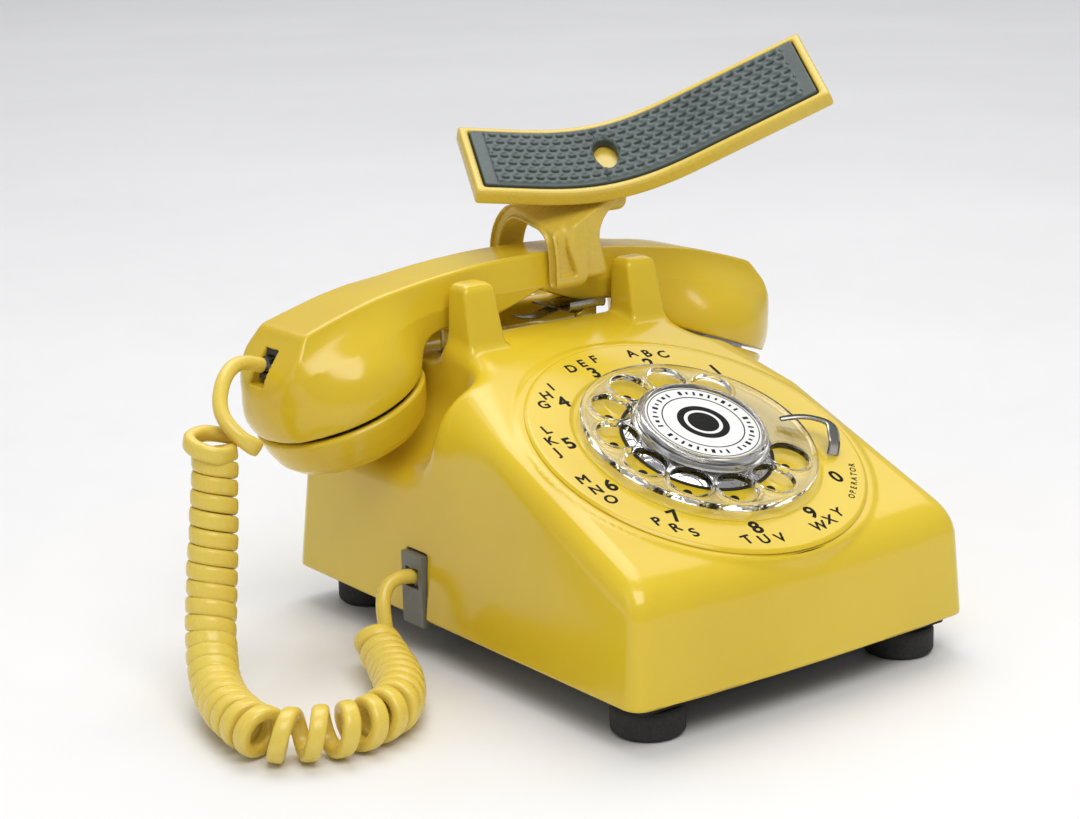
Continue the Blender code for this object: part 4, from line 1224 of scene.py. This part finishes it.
def line_distance(y, z, line):
    """How far each point is from a bent line in the plane across the handle."""
    near = np.full(np.shape(y), 1e3)
    for (ya, za), (yb, zb) in zip(line, line[1:]):
        dy = yb - ya
        dz = zb - za
        t = np.clip(((y - ya) * dy + (z - za) * dz) / (dy * dy + dz * dz), 0.0, 1.0)
        near = np.minimum(near, np.hypot(y - ya - t * dy, z - za - t * dz))
    return near


def bracket_field(x, y, z):
    away = line_distance(y, z, ARCH_CURVE)
    arch = smax(away - 2.7, np.abs(x - 8.0) - 6.0, 1.4)
    channel = smax(away - 1.5, x - 3.6, 0.6)
    arch = smax(arch, -channel, 0.6)
    rise = np.clip((z - 113.5) / 12.0, 0.0, 1.0)
    lean = BRACKET_X + 0.7 - 3.0 * rise * rise * (3.0 - 2.0 * rise)
    right = x - lean - 6.7 - 0.06 * np.clip(z - 127.0, 0.0, 14.0) ** 2
    left = lean - x - 6.6 + 0.015 * np.clip(z - 123.0, 0.0, 14.0) ** 2
    leg = smax(smax(right, left, 0.5), np.abs(y - 35.9) - 2.5, 1.8)
    leg = smax(leg, smax(112.5 - z, z - 146.0, 0.5), 2.6)
    head = round_box(x, y, z, (24.5, 51.0, 139.5), (14.0, 12.5, 6.0), 3.5)
    body = smin(smin(arch, leg, 3.0), head, 6.0)
    panel = round_box(x, y, z, (7.1, 33.4, 124.5), (3.5, 2.4, 10.0), 0.8)
    body = smax(body, -smax(panel, x - lean + 7.2, 0.3), 0.6)
    mid = REST_MID
    out = (x - mid.x) * REST_FACE.x + (y - mid.y) * REST_FACE.y + (z - mid.z) * REST_FACE.z
    return smax(body, out - REST_FLOOR, 0.8)


BRACKET_LOW = (0.0, 31.0, 111.0)
BRACKET_TOP = (42.0, 77.0, 147.0)
bracket = field_mesh("rest_bracket_moulded", bracket_field, BRACKET_LOW, BRACKET_TOP, 0.7)
dress(bracket, bracket_yellow, "handset", ["rest_bracket"])

# the sprung clip under the handle
CLIP_KNOTS = ((36.3, 104.6), (36.3, 102.6), (38.0, 101.6), (46.0, 101.6), (58.0, 101.6))
CLIP_WIDE = 15.6
clip_path = smooth_path([Vector((BRACKET_X, y, z)) for y, z in CLIP_KNOTS], 0.7)
clip_widths = [CLIP_WIDE] * len(clip_path)
clip = strip("rest_clip_plate", clip_path, clip_widths, 0.8, (0.0, 1.0, 0.01))
dress(clip, worn_steel, "rest_clip", ["rest_clip"])
RIVET_PROFILE = [(0.0, 99.2), (2.2, 99.2), (3.4, 100.2), (3.4, 101.0), (0.0, 101.0)]
lathe("clip_rivet_head", RIVET_PROFILE, at(BRACKET_X, 44.0), worn_steel, "rest_clip",
      ["clip_rivet"], 48, 0.4)
SPRING_KNOTS = ((11.0, 101.0), (6.0, 100.0), (3.0, 99.2), (0.0, 99.2), (-5.0, 100.0))
SPRING_Y = 47.5
SPRING_WIDE = 7.0
spring_path = smooth_path([Vector((x, SPRING_Y, z)) for x, z in SPRING_KNOTS], 0.5)
spring_widths = [SPRING_WIDE] * len(spring_path)
spring = strip("clip_spring", spring_path, spring_widths, 0.5, (0.0, 0.0, 1.0))
dress(spring, worn_steel, "rest_clip")


# ---- floor and light
def make_stage():
    bm = bmesh.new()
    bmesh.ops.create_grid(bm, x_segments=2, y_segments=2, size=6000.0)
    floor = from_bmesh("floor", bm)
    n = Nodes("pale_floor")
    n.colour(n.ramp(n.noise(3.0), [(0.3, (0.80, 0.80, 0.81)), (0.7, (0.84, 0.84, 0.85))]))
    n.rough(n.spread(n.noise(50.0), 0.5, 0.62))
    floor.data.materials.append(n.mat)


def area_light(name, spot, aim, size, power, colour=(1.0, 1.0, 1.0)):
    data = bpy.data.lights.new(name, "AREA")
    data.shape = "RECTANGLE"
    data.size = size[0]
    data.size_y = size[1]
    data.energy = power
    data.color = colour
    lamp = add_object(name, data)
    lamp.location = spot
    lamp.rotation_mode = "QUATERNION"
    lamp.rotation_quaternion = (Vector(aim) - Vector(spot)).to_track_quat("-Z", "Y")


def make_light():
    world = bpy.data.worlds.new("studio")
    world.use_nodes = True
    world.node_tree.nodes["Background"].inputs["Color"].default_value = (0.86, 0.865, 0.88, 1.0)
    world.node_tree.nodes["Background"].inputs["Strength"].default_value = 0.42
    bpy.context.scene.world = world
    bpy.context.scene.view_settings.view_transform = "Standard"
    area_light("key", (-0.35, -0.75, 1.25), (0.0, -0.02, 0.06), (1.0, 0.8), 11.0, (1.0, 0.98, 0.95))
    area_light("top", (0.25, 0.35, 1.5), (0.0, 0.0, 0.08), (0.9, 0.9), 6.0)
    area_light("back", (1.5, 2.0, 2.6), (1.5, 2.0, 0.0), (4.0, 4.0), 60.0)
    area_light("side", (-1.4, 0.1, 0.7), (0.0, 0.0, 0.07), (0.8, 0.8), 1.2, (0.96, 0.98, 1.0))


make_stage()
make_light()
